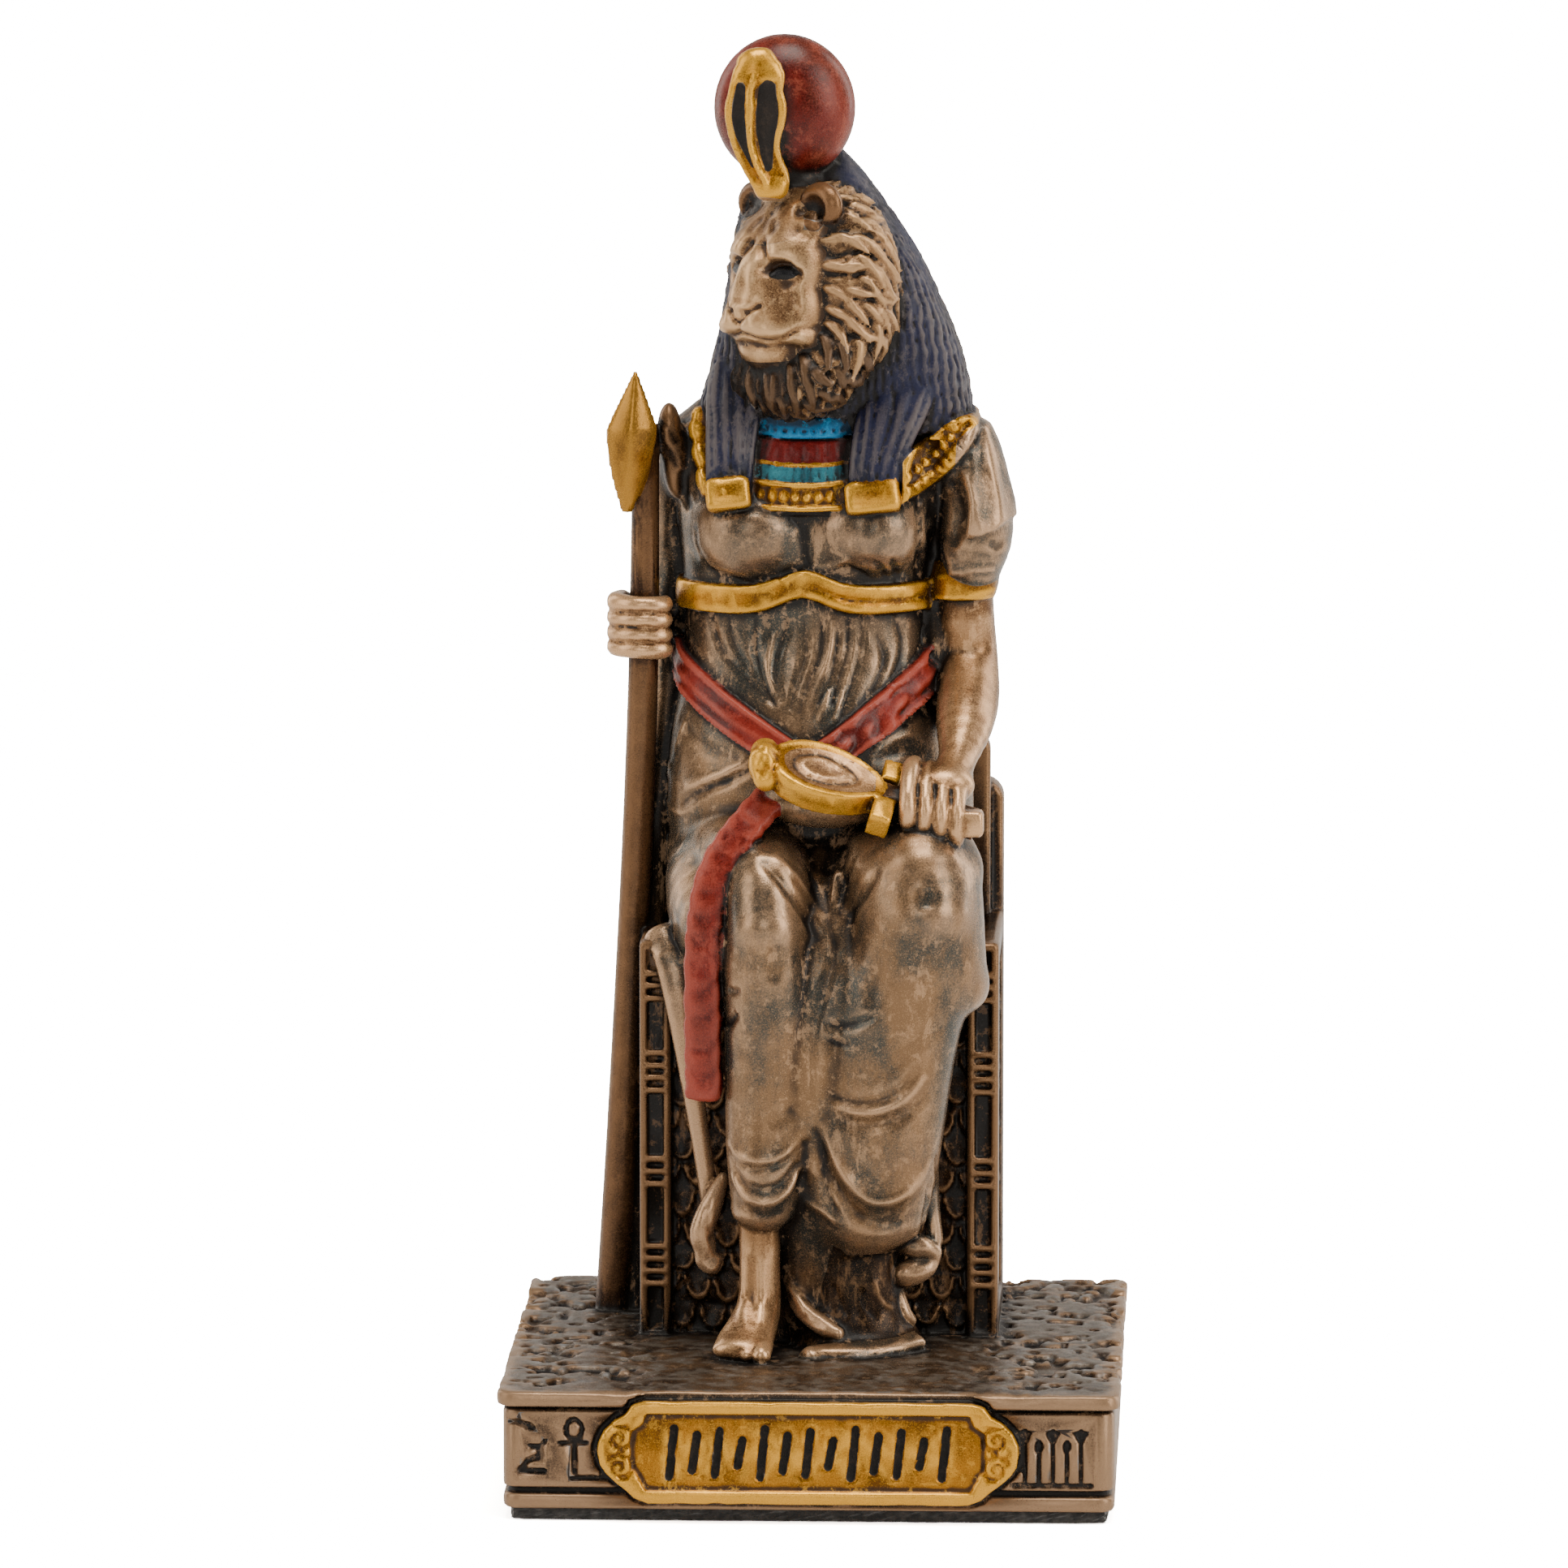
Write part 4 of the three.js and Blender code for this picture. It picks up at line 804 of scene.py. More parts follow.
chest_folds = [
    ([(700, 465), (755, 540), (745, 640), (650, 705)], 0.24, 0.36),
    ([(345, 500), (365, 610), (430, 680), (540, 715)], 0.24, 0.3),
    ([(440, 470), (560, 450), (680, 470)], 0.3, 0.12),
    ([(765, 480), (750, 560), (770, 660)], 0.3, 0.3),
    ([(1175, 400), (1185, 540), (1170, 690)], 0.3, 0.55),
    ([(900, 650), (950, 670), (985, 690)], 0.16, 0.3),
    ([(960, 630), (1030, 650), (1060, 700)], 0.16, 0.26),
    ([(1075, 630), (1095, 670), (1100, 710)], 0.16, 0.3),
    ([(1005, 470), (1000, 510), (985, 550)], 0.3, 0.18),
    ([(780, 660), (860, 650), (930, 630)], 0.2, -0.16),
    ([(1290, 330), (1330, 440), (1300, 580)], 0.42, 0.6),
    ([(1345, 290), (1375, 420), (1365, 550)], 0.26, -0.35),
    ([(1225, 400), (1215, 520), (1260, 640)], 0.3, 0.22),
    ([(1270, 560), (1290, 630), (1300, 680)], 0.2, -0.2),
    ([(1420, 280), (1455, 400), (1470, 500)], 0.3, 0.12),
    ([(1440, 560), (1470, 580), (1490, 560)], 0.2, 0.3),
    ([(300, 300), (310, 380), (330, 450)], 0.3, 0.4),
]
belly_folds = [
    ([(405, 0), (440, 110), (540, 230), (620, 320)], 0.2, 0.42),
    ([(470, 0), (500, 120), (600, 260), (660, 350)], 0.17, 0.3),
    ([(575, 0), (570, 120), (600, 230), (650, 330)], 0.2, 0.42),
    ([(690, 0), (680, 60), (640, 200), (670, 310)], 0.2, 0.45),
    ([(745, 0), (760, 130), (720, 260), (700, 350)], 0.2, 0.42),
    ([(820, 0), (810, 140), (760, 260), (730, 370)], 0.2, 0.45),
    ([(880, 50), (870, 150), (850, 230), (800, 330)], 0.17, 0.42),
    ([(915, 0), (915, 120), (880, 230), (850, 330)], 0.2, 0.45),
    ([(965, 0), (960, 120), (930, 240), (880, 370)], 0.17, 0.4),
    ([(1020, 60), (1050, 150), (1020, 240), (960, 330)], 0.2, 0.42),
    ([(1090, 0), (1120, 110), (1080, 230), (1000, 330)], 0.2, 0.36),
    ([(1190, 20), (1180, 130), (1120, 240)], 0.25, 0.3),
    ([(845, 260), (830, 320), (800, 390)], 0.2, -0.3),
    ([(900, 270), (880, 330), (850, 400)], 0.18, -0.25),
    ([(640, 60), (625, 180), (640, 300)], 0.3, -0.2),
    ([(860, 0), (850, 120), (815, 220)], 0.2, -0.25),
]
clay.draw(picked(waist_part, belly_folds), 0.35)

# The lap and the legs under the robe: the left shin stands forward in a full skirt that flares at the
# floor, the right shin's cloth ends above the ankle. Behind them the skirt falls to the plinth.

lap_line = [
    (-0.3, 8.4, 28.6, 9.0, 5.2), (-0.4, 4.0, 28.0, 9.3, 5.0), (-0.1, 0.6, 26.6, 9.0, 4.4),
    (0.5, -1.6, 25.6, 8.0, 3.6), (0.9, -3.2, 24.6, 6.0, 2.4),
]
right_leg = [
    (7.7, -3.3, -4.9, 1.2, 1.5), (8.3, -3.3, -4.9, 1.8, 2.1), (9.6, -3.1, -4.8, 2.2, 2.6),
    (11.4, -2.95, -4.7, 2.55, 2.8), (17.5, -2.95, -4.6, 2.7, 3.0), (21, -2.95, -4.5, 2.75, 3.4),
    (24.4, -3.0, -4.3, 2.85, 4.0), (27.2, -3.05, -3.8, 2.6, 4.0), (29.4, -3.1, -2.9, 2.7, 3.6),
    (31, -3.2, -1.8, 2.2, 2.8), (31.9, -3.2, -0.8, 1.2, 1.8),
]
left_leg = [
    (6.2, 3.1, -4.4, 1.5, 1.8), (7.0, 3.4, -4.3, 2.6, 2.7), (9, 3.6, -4.3, 3.4, 3.2),
    (12, 3.75, -4.3, 3.85, 3.5), (16, 4.05, -4.2, 4.15, 3.7), (18.5, 4.4, -4.2, 4.2, 3.8),
    (20.6, 4.8, -4.2, 4.3, 4.0), (23, 5.7, -4.2, 4.6, 4.2), (26, 6.1, -4.1, 4.25, 4.5),
    (28.6, 6.1, -3.9, 4.1, 4.6), (30.8, 5.9, -3.0, 4.1, 4.1), (32.2, 5.6, -1.8, 3.2, 3.0),
    (32.9, 5.5, -0.8, 1.8, 1.8),
]
inner_skirt = [
    (-0.1, 2.7, -3.2, 4.1, 3.6), (0.5, 2.7, -3.2, 3.8, 3.4), (1.8, 2.6, -3.1, 3.1, 2.8),
    (4.5, 2.4, -3.2, 2.6, 2.4), (9, 2.4, -3.2, 2.9, 2.6),
]
behind_legs = [
    (-0.1, 0.6, -1.6, 3.0, 2.2), (7, 0.8, -2.2, 4.2, 3.2), (11, 0.9, -2.6, 4.6, 3.6),
    (20, 1.2, -2.4, 5.0, 4.0), (24, 1.2, -1.7, 5.6, 4.7), (27, 1.2, -0.9, 6.0, 4.3),
    (29.4, 1.2, 0.3, 6.0, 4.0),
]
between_legs = [
    (0.9, 0.6, 30.6, 3.0, 1.6), (0.9, -2.6, 27.8, 2.4, 1.5), (0.6, -4.9, 24.4, 1.7, 1.4),
    (0.1, -5.9, 20.0, 1.2, 1.3), (-0.3, -5.9, 16.0, 1.1, 1.2), (-0.3, -5.2, 12.0, 1.0, 1.2),
]
clay.add(sweep(lap_line, power=2.8), "robe", 0.5)
clay.add(upright(behind_legs), "robe", 0.3)
clay.add(upright(right_leg), "robe", 0.7)
clay.add(upright(left_leg), "robe", 1.3)
clay.add(sweep(between_legs, steps=16), "robe", 0.9)
# Painted shade: the inner skirt between the feet takes the throne's dark bronze.
clay.add(upright(inner_skirt), "throne", 0.3)
clay.add(ball((9.2, -3.6, 22.6), (1.4, 2.2, 1.5)), "robe", 0.8)
right_thigh = [
    (-5.2, 4.5, 30.8, 3.4, 2.8), (-4.4, -0.5, 30.3, 3.0, 2.6), (-3.3, -4.6, 29.0, 2.45, 2.6),
    (-3.0, -6.3, 26.6, 2.2, 2.4),
]
left_thigh = [
    (4.8, 4.5, 30.8, 3.6, 3.0), (5.4, -0.5, 31.2, 3.3, 2.8), (6.3, -5.0, 30.2, 3.0, 2.8),
    (6.7, -6.8, 27.6, 2.6, 2.4),
]
clay.add(sweep(right_thigh), "robe", 0.8)
clay.add(sweep(left_thigh), "robe", 0.8)
thigh_folds = [
    ([(815, 0), (805, 150), (818, 300), (840, 420), (800, 560), (765, 700), (755, 850),
     (740, 1000)], 0.3, 0.3),
    ([(560, 60), (650, 160), (720, 270), (790, 380)], 0.32, 0.34),
    ([(600, 40), (680, 110), (755, 230)], 0.25, -0.22),
    ([(1010, 90), (950, 190), (890, 310)], 0.32, 0.3),
    ([(920, 30), (880, 150), (850, 280)], 0.2, 0.26),
    ([(700, 0), (750, 120), (795, 260)], 0.2, 0.26),
    ([(880, 20), (850, 120), (830, 230)], 0.2, -0.2),
    ([(1030, 400), (1000, 520), (980, 640)], 0.6, 0.2),
]
knee_dents = [([(6.55, 28.3), (6.7, 26.9)], 0.6, 0.24), ([(-2.8, 24.6), (-2.75, 22.2)], 0.5, 0.2)]
shin_folds = [
    ([(800, 690), (880, 695), (960, 672), (1005, 645)], 0.28, 0.3),
    ([(790, 755), (840, 758), (895, 770)], 0.17, 0.34),
    ([(1250, 690), (1110, 820), (960, 925)], 0.55, 0.2),
    ([(820, 965), (930, 990), (1060, 960), (1170, 850)], 0.26, 0.22),
    ([(820, 1000), (950, 1028), (1090, 990), (1200, 880)], 0.26, -0.28),
    ([(840, 1060), (960, 1085), (1100, 1050), (1210, 960)], 0.35, 0.26),
    ([(430, 560), (455, 570), (470, 560)], 0.22, 0.4),
    ([(425, 700), (445, 680), (465, 650)], 0.25, 0.45),
    ([(690, 1020), (640, 1050), (590, 1080)], 0.4, 0.16),
]
hem_folds = [
    ([(820, 20), (850, 140), (900, 240), (960, 320), (1010, 350)], 0.36, 0.42),
    ([(850, 0), (885, 100), (935, 200), (1000, 268), (1060, 288), (1130, 270), (1190, 215),
     (1240, 130)], 0.27, -0.32),
    ([(930, 120), (990, 190), (1060, 215), (1130, 180)], 0.35, 0.16),
    ([(505, 60), (545, 118), (610, 140), (690, 130), (745, 90), (780, 30)], 0.2, -0.2),
    ([(510, 100), (550, 155), (610, 172), (690, 162), (750, 120)], 0.16, 0.16),
    ([(530, 165), (580, 232), (640, 246), (710, 225), (770, 140)], 0.26, 0.42),
    ([(525, 190), (575, 268), (645, 292), (715, 262), (790, 150)], 0.22, -0.32),
    ([(535, 270), (580, 325), (650, 340), (715, 315)], 0.25, 0.18),
    ([(800, 60), (790, 160), (760, 260)], 0.3, 0.4),
    ([(850, 150), (870, 260), (915, 350)], 0.22, 0.3),
    ([(790, 285), (850, 320), (905, 365)], 0.22, -0.25),
    ([(1238, 200), (1225, 300), (1205, 400)], 0.2, 0.34),
    ([(1262, 120), (1255, 260), (1270, 400)], 0.2, 0.25),
    ([(960, 330), (1050, 370), (1140, 360)], 0.4, 0.16),
]
hip_folds = [
    ([(600, 530), (480, 600), (380, 640), (290, 690)], 0.28, 0.4),
    ([(555, 540), (430, 592), (300, 632)], 0.28, -0.3),
    ([(300, 350), (330, 430), (420, 500), (520, 525)], 0.35, 0.22),
    ([(228, 470), (252, 560), (232, 650), (285, 725), (370, 690)], 0.2, -0.2),
    ([(240, 760), (250, 860), (230, 960)], 0.25, 0.25),
    ([(1000, 500), (1080, 450), (1190, 430)], 0.2, -0.15),
    ([(1010, 530), (1100, 500), (1200, 480)], 0.2, 0.2),
    ([(330, 340), (300, 420), (270, 500)], 0.25, -0.18),
]
for folds in (picked(knee_part, thigh_folds), knee_dents, picked(knee_part, shin_folds),
              picked(hem_part, hem_folds), picked(waist_part, hip_folds)):
    clay.draw(folds, 0.45)

# The bare right foot stands flat on the plinth with its five toes. It is cast with the rest and
# rubbed to the same warm bronze as the arms.

foot_line = [
    (-3.5, -4.9, 9.5, 1.35, 1.35), (-3.5, -4.8, 5.2, 1.25, 1.35), (-3.55, -4.8, 2.8, 1.35, 1.6),
    (-3.9, -5.9, 1.6, 1.5, 1.55), (-4.3, -7.4, 0.95, 1.75, 1.05), (-4.45, -8.6, 0.6, 1.85, 0.75),
]
clay.add(sweep(foot_line), "skin", 0.2)
clay.add(ball((-3.5, -4.1, 1.0), (1.1, 1.2, 1.2)), "skin", 0.4)
toes = (
    (-3.25, -9.3, 0.62), (-4.15, -9.25, 0.44), (-4.75, -9.0, 0.4), (-5.33, -8.65, 0.37),
    (-5.85, -8.2, 0.35),
)
for toe_x, toe_y, size in toes:
    root = (toe_x + 0.15, toe_y + 1.6, 0.75, size * 0.9)
    toe = [root, (toe_x, toe_y + 0.6, 0.62, size), (toe_x, toe_y, 0.42, size)]
    clay.add(sweep(toe, steps=6), "skin", 0.08)
clay.draw([
    ([(-4.2, 5.2), (-4.2, 3.0), (-4.1, 0.9)], 0.22, 0.22),
    ([(-4.7, 4.8), (-4.75, 3.0), (-5.0, 1.2)], 0.3, -0.12),
    ([(-3.6, 5.0), (-3.55, 3.0), (-3.5, 1.0)], 0.3, -0.14), ([(-5.3, 1.6), (-5.2, 0.6)], 0.15, 0.12),
], 0.4)

# Loose ends of cloth, cast on the robe: a fold over the seat's corner, the bunch at its end, the
# ruffles at the left ankle, and the hem that trails on the plinth.

seat_fold = [
    (-9.6, 0.4, 25.2, 1.3, 0.6), (-8.9, -0.8, 23.4, 1.2, 0.6), (-8.2, -1.4, 18.5, 0.8, 0.5),
    (-7.3, -1.6, 12.5, 0.6, 0.5), (-6.7, -1.6, 8.6, 0.6, 0.6),
]
bunch = [
    (-5.9, -2.2, 10.2, 0.4, 0.5), (-6.6, -2.8, 8.6, 0.7, 0.7), (-7.2, -3.0, 6.9, 0.75, 0.7),
    (-6.9, -2.9, 5.6, 0.65, 0.6),
]
bunch_end = [
    (-6.9, -2.9, 6.2, 0.6, 0.6), (-7.2, -3.1, 5.2, 0.4, 0.4), (-6.6, -3.1, 4.8, 0.5, 0.4),
    (-6.2, -3.0, 5.2, 0.35, 0.4),
]
side_fall = [(7.0, -2.4, 13.0, 0.5, 1.2), (7.0, -2.8, 9.0, 0.55, 1.1), (7.3, -3.0, 6.6, 0.5, 0.8)]
ruffle = [(5.2, -3.6, 6.6, 0.8, 0.7), (6.4, -3.8, 6.3, 0.8, 0.7), (7.2, -3.5, 5.9, 0.55, 0.6)]
second_ruffle = [
    (5.0, -3.4, 4.3, 0.55, 0.6), (5.6, -3.9, 4.6, 0.85, 0.75), (6.6, -3.7, 5.0, 0.8, 0.65),
    (7.3, -3.4, 5.5, 0.35, 0.4),
]
last_ruffle = [(5.0, -3.4, 3.4, 0.4, 0.5), (5.4, -3.8, 2.2, 0.45, 0.5), (5.9, -3.6, 1.6, 0.3, 0.4)]
hem_curl = [
    (-1.9, -2.6, 7.0, 0.4, 0.6), (-1.7, -3.6, 4.2, 0.4, 0.6), (-1.0, -4.6, 2.6, 0.55, 0.6),
    (0.4, -5.6, 1.6, 0.6, 0.6), (1.4, -6.2, 1.2, 0.4, 0.5),
]
train = [
    (-0.4, -7.6, 0.25, 0.6, 0.35), (0.4, -7.0, 0.3, 0.9, 0.4), (2.4, -6.6, 0.3, 1.1, 0.45),
    (4.4, -6.0, 0.35, 1.1, 0.45), (6.0, -4.6, 0.45, 1.0, 0.5),
]
for line in (seat_fold, bunch, bunch_end, side_fall, ruffle, second_ruffle, last_ruffle, hem_curl):
    clay.add(sweep(line, steps=12), "robe", 0.2)
clay.add(sweep(train, (0, 1, 0), steps=12), "robe", 0.5)
clay.draw([
    ([(-0.9, -0.1), (-0.2, -1.2), (1.8, -1.25), (4.0, -0.7), (5.9, 0.5)], 0.16, -0.2),
    ([(-1.4, 3.2), (-0.5, 2.2), (1.0, 1.2)], 0.16, -0.25),
    ([(-2.2, 3.0), (-1.2, 1.5), (0.2, 0.7)], 0.2, 0.3), ([(0.8, 3.4), (1.3, 1.9), (1.6, 1.2)], 0.18, 0.3),
    ([(2.6, 3.2), (2.9, 2.0), (3.6, 1.2)], 0.2, 0.25), ([(3.4, 3.6), (3.8, 2.4), (4.6, 1.8)], 0.18, -0.2),
    ([(-7.0, 8.5), (-6.9, 6.8), (-6.5, 5.6)], 0.14, 0.25),
], 0.4)

# The belt is a raised band painted gold. The sash, painted red, dips from the hips to the ankh, and
# its long end hangs over the right thigh.

belt_height, belt_level, sash_level = 1.75, 45.9, 35.8


def belt_relief(across, a):
    groove = 0.2 * step(0, 0.3, a) * np.exp(-((across + 0.1) / 0.12) ** 2)
    return 0.09 * grain(0.9, 51, across, a * 7) - groove


def sash_relief(across, a):
    creases = (0.06 + 0.16 * step(0, 0.2, a)) * grain(0.7, 52, across, a * 6)
    return 0.09 * np.cos(across * 5.2) + creases


def end_relief(t, u, v):
    return 0.12 * abs(np.sin(t * 46 + 1.6 * u * u + grain(1.0, 53, t * 9, u + 0 * t))) - 0.06


clay.add(band(torso_rows, lambda a: belt_level + 1.1 * np.exp(-(a / 0.4) ** 2), belt_height / 2, 0.5,
              belt_relief), "gold")
clay.add(band(torso_rows, lambda a: sash_level + np.minimum(4 * abs(a), 6), 1.15, 0.6, sash_relief), "red")
hanging_end = [
    (-2.2, -2.6, 34.9, 1.15, 0.5), (-4.4, -4.4, 32.6, 1.15, 0.5), (-6.2, -5.2, 29.8, 1.15, 0.5),
    (-6.9, -5.3, 26.0, 1.15, 0.5), (-7.0, -5.1, 21.0, 1.15, 0.5), (-6.95, -4.9, 16.1, 1.15, 0.5),
]
clay.add(sweep(hanging_end, (1, -0.3, 0), 4, 24, end_relief), "red", 0.1)

# The arms and hands, cast with the body. The left arm comes out of a gold cuff, and its forearm lies
# along the thigh with the hand closed on the ankh. The right fist grips the spear.

sleeve = [
    (6.0, 6.0, 56.4, 1.6, 2.6), (8.2, 5.8, 55.0, 2.3, 3.0), (9.2, 5.6, 52.4, 2.3, 3.2),
    (9.5, 5.4, 49.8, 2.35, 3.3), (9.2, 5.2, 47.7, 1.95, 2.5),
]
left_arm = [
    (8.9, 5.3, 49.5, 1.65, 1.75), (8.9, 5.5, 45.0, 1.75, 1.8), (9.05, 5.9, 41.8, 1.85, 1.95),
    (9.1, 3.6, 39.6, 1.95, 1.9), (8.95, 1.0, 38.2, 1.75, 1.65), (8.6, -1.6, 36.6, 1.2, 1.2),
    (8.2, -3.2, 35.6, 1.25, 1.1),
]
drape = [
    (6.9, 7.4, 53, 2.0, 2.2), (7.2, 7.2, 46, 1.7, 2.4), (7.7, 7.0, 38, 1.6, 2.8),
    (8.0, 6.8, 31, 1.4, 3.0),
]
right_arm = [
    (-6.8, 6.4, 56.0, 1.9, 2.6), (-8.9, 7.2, 54.0, 1.7, 2.6), (-9.6, 8.6, 49.5, 1.5, 2.3),
    (-9.9, 9.6, 45.0, 1.4, 1.9), (-10.3, 8.6, 43.6, 1.4, 1.6), (-10.8, 6.4, 43.9, 1.25, 1.35),
    (-11.1, 5.2, 44.1, 1.3, 1.8),
]
clay.add(sweep(drape), "robe", 0.5)
clay.add(sweep(sleeve), "robe", 0.4)
clay.add(sweep(left_arm, steps=22), "skin", 0.15)
cuff = [(45.7, 8.75, 5.3, 2.0, 2.1), (46.6, 8.85, 5.3, 2.12, 2.2), (48.0, 9.0, 5.3, 2.0, 2.1)]
clay.add(upright(cuff), "gold")
clay.draw([
    ([(6.9, 47.5), (8.6, 47.9), (10.8, 48.2)], 0.12, -0.15),
    ([(6.9, 46.3), (8.6, 46.3), (10.8, 46.9)], 0.12, -0.15),
], 0)
clay.add(sweep(right_arm, steps=22), "robe", 0.3)
# Painted shade: two lumps on the right shoulder, in the throne's dark bronze.
for lump in ((-9.5, 4.7, 56.0, 0.75, 1.1, 1.8), (-9.0, 4.8, 54.0, 0.9, 1.2, 2.2)):
    clay.add(ball(lump[:3], lump[3:]), "throne", 0.5)
clay.draw([
    ([(-10.1, 57.4), (-9.4, 57.0), (-8.9, 55.9)], 0.13, 0.3),
    ([(-10.0, 56.0), (-9.4, 55.4), (-8.8, 54.3)], 0.15, 0.3),
], 0.4)
cape = [
    (7.0, 56.2), (9.0, 57.2), (10.5, 56.5), (12.6, 53.5), (12.6, 50.7), (11.6, 50.7), (10.5, 50.1),
    (9.1, 49.75), (8.9, 51.5), (8.2, 54.2),
]
clay.lay(cape, (0.5, 9.0),
         lambda x, z: step(8.4, 10.4, x) * (0.3 + 0.1 * np.sin(x * 4.2 + z * 0.6)), "robe")
clay.draw(picked(chest_part, chest_folds), 0.4)
clay.add(ball((7.7, -3.9, 35.2), (2.0, 1.5, 1.3)), "skin", 0.4)

# The spear's shaft leans from the plinth to the fist; its blade is a faceted gold lozenge. A web of
# cast cloth behind it ties it to the figure.

shaft = [
    (-13.2, 8.0, -0.1, 1.2), (-12.5, 7.1, 11.1, 1.13), (-11.75, 5.9, 26.0, 1.0), (-11.3, 4.9, 36.0, 0.95),
    (-11.05, 4.3, 44.1, 0.92), (-10.9, 4.0, 56.0, 0.83),
]
web = [
    (-12.0, 8.2, -0.1, 1.4, 1.0), (-11.6, 7.4, 11, 1.2, 0.9), (-11.1, 6.6, 24, 1.0, 0.9),
    (-10.0, 8.6, 35, 1.5, 2.4), (-9.2, 8.8, 47, 1.7, 2.2), (-8.6, 7.8, 53, 1.4, 2.0),
]
blade_foot, blade_length, blade_width, blade_thickness = 51.1, 8.9, 3.2, 1.9
clay.add(sweep(web), "robe", 0.3)
clay.add(sweep(shaft, steps=20), "shaft", 0.1)


def blade(x, y, z):
    t = np.clip((z - blade_foot) / blade_length, 0, 1)
    swell = 0.22 + 0.78 * np.sin(np.minimum(t / 0.6, 1) * math.pi / 2)
    spread = np.where(t < 0.6, swell, 1 - 0.93 * (t - 0.6) / 0.4)
    u = abs(x + 12.05 - 0.55 * t) / (blade_width / 2)
    v = abs(y - 3.1) / (blade_thickness / 2)
    facet = (u ** 1.2 + v ** 1.2) ** (1 / 1.2) - spread
    return np.maximum(facet * 0.75, abs(z - blade_foot - blade_length / 2) - blade_length / 2)


clay.add(Form(blade, (-13.8, 2.0, blade_foot), (-9.8, 4.2, blade_foot + blade_length)), "brass")


finger_radius = 0.56


def fingers(paths):
    """Fingers side by side, each a short bent limb with a thicker middle joint."""
    for path in paths:
        thick = [finger_radius * share for share in (0.95, 1.08, 0.98, 1.02, 0.8)]
        clay.add(sweep([(*p, r) for p, r in zip(path, thick)], steps=13), "skin", 0.06)


fingers([[(-12.5, 5.6, z), (-12.75, 3.7, z), (-11.4, 2.55, z - 0.05), (-9.9, 2.9, z - 0.1),
          (-9.75, 4.3, z - 0.1)] for z in (45.45, 44.5, 43.55, 42.65)])
clay.add(ball((-11.3, 5.4, 44.0), (1.6, 1.5, 1.9)), "skin", 0.3)
bent = ((0.3, -2.4, 36.5), (0.15, -4.2, 36.35), (0, -5.9, 35.0), (0, -6.0, 33.6), (0, -5.0, 32.9))
fingers([[(x + out, y, z - 0.29 * (x - 5)) for out, y, z in bent] for x in (5.65, 6.65, 7.65, 8.6)])
clay.draw([([(-13.1, z), (-11.5, z + 0.06), (-10.1, z)], 0.1, 0.3) for z in (45.3, 44.37, 43.45)], 0.3)

# The ankh lies across the lap: a gold loop broken rough at its tip, a cross bar, and a stem that runs
# through the left hand.


def prism(outline, half, origin, along, across):
    """A flat outline with a thickness, in a plane of its own."""
    along, across = np.array(along, float), np.array(across, float)
    along /= np.linalg.norm(along)
    face = np.cross(along, across)
    face /= np.linalg.norm(face)
    across = np.cross(face, along)
    corners = np.array([origin + along * a + across * c for a, c in outline])
    soft = 0.15

    def distance(x, y, z):
        dx, dy, dz = x - origin[0], y - origin[1], z - origin[2]
        u, v, w = (dx * d[0] + dy * d[1] + dz * d[2] for d in (along, across, face))
        return rounded(within(u, v, outline) + soft, abs(w) - half + soft, soft)

    return Form(distance, corners.min(0) - half, corners.max(0) + half)


ankh_tip = np.array((-3.0, -4.6, 36.7))
ankh_along, ankh_across = np.array((0.958, 0, -0.287)), np.array((0.15, 0.81, 0.55))
cross_at, ankh_length = 7.5, 13.4
face_up = np.cross(ankh_along, ankh_across)
face_up /= np.linalg.norm(face_up)
ankh_flat = ankh_across - ankh_along * np.dot(ankh_along, ankh_across)
ankh_flat /= np.linalg.norm(ankh_flat)


def teardrop(start, wide, end):
    points = []
    for t in np.linspace(0, 2 * math.pi, 28, endpoint=False):
        share = 0.5 - 0.5 * math.cos(t)
        points.append((start + (end - start) * share, wide * math.sin(t) * (1 - 0.35 * share ** 2)))
    return points


def ankh_part(outline, half, lift=0.0):
    return prism(outline, half, ankh_tip + lift * face_up, ankh_along, ankh_across)


clay.add(ball((0.6, -2.6, 34.2), (4.2, 2.2, 1.9)), "robe", 0.3)
clay.add(ankh_part(teardrop(0, 2.45, cross_at), 0.9), "gold", 0.1)
clay.tint(ankh_part(teardrop(0.75, 1.85, cross_at - 0.2), 0.5, 0.75), "skin")
clay.cut(ankh_part(teardrop(0.5, 2.0, cross_at), 0.3, 1.1), 0.1)
for start, wide, end, depth in ((1.5, 1.25, 5.6, 0.3), (2.1, 0.8, 4.9, -0.12)):
    loop = teardrop(start, wide, end)
    loop = [ankh_tip + 0.8 * face_up + a * ankh_along + c * ankh_flat for a, c in loop]
    clay.press(loop + loop[:1], 0.16, depth, 0)
broken_tip = (
    ((-0.2, -0.3, -0.1), (1.0, 1.2, 1.35)), ((-0.2, 0.6, 0.5), (0.9, 1.0, 0.9)),
    ((-0.1, -0.9, -0.8), (0.8, 0.8, 0.9)),
)
for shift, size in broken_tip:
    clay.add(ball(ankh_tip + shift, size), "gold", 0.1)
clay.draw([
    ([(-4.1, 36.4), (-3.3, 36.0), (-3.5, 35.2)], 0.14, 0.35),
    ([(-3.0, 36.9), (-2.6, 36.2), (-2.9, 35.4)], 0.14, 0.35), ([(-3.9, 35.5), (-3.2, 34.9)], 0.14, 0.35),
    ([(-4.2, 37.0), (-3.4, 36.8)], 0.14, 0.3),
], 0.3)
stem_start = cross_at - 0.5
stem = [(stem_start, -0.6), (ankh_length, -0.8), (ankh_length, 0.8), (stem_start, 0.6)]
near_bar = [
    (cross_at - 0.6, -2.75), (cross_at + 0.75, -2.75), (cross_at + 0.75, -0.7), (cross_at - 0.6, -0.7),
]
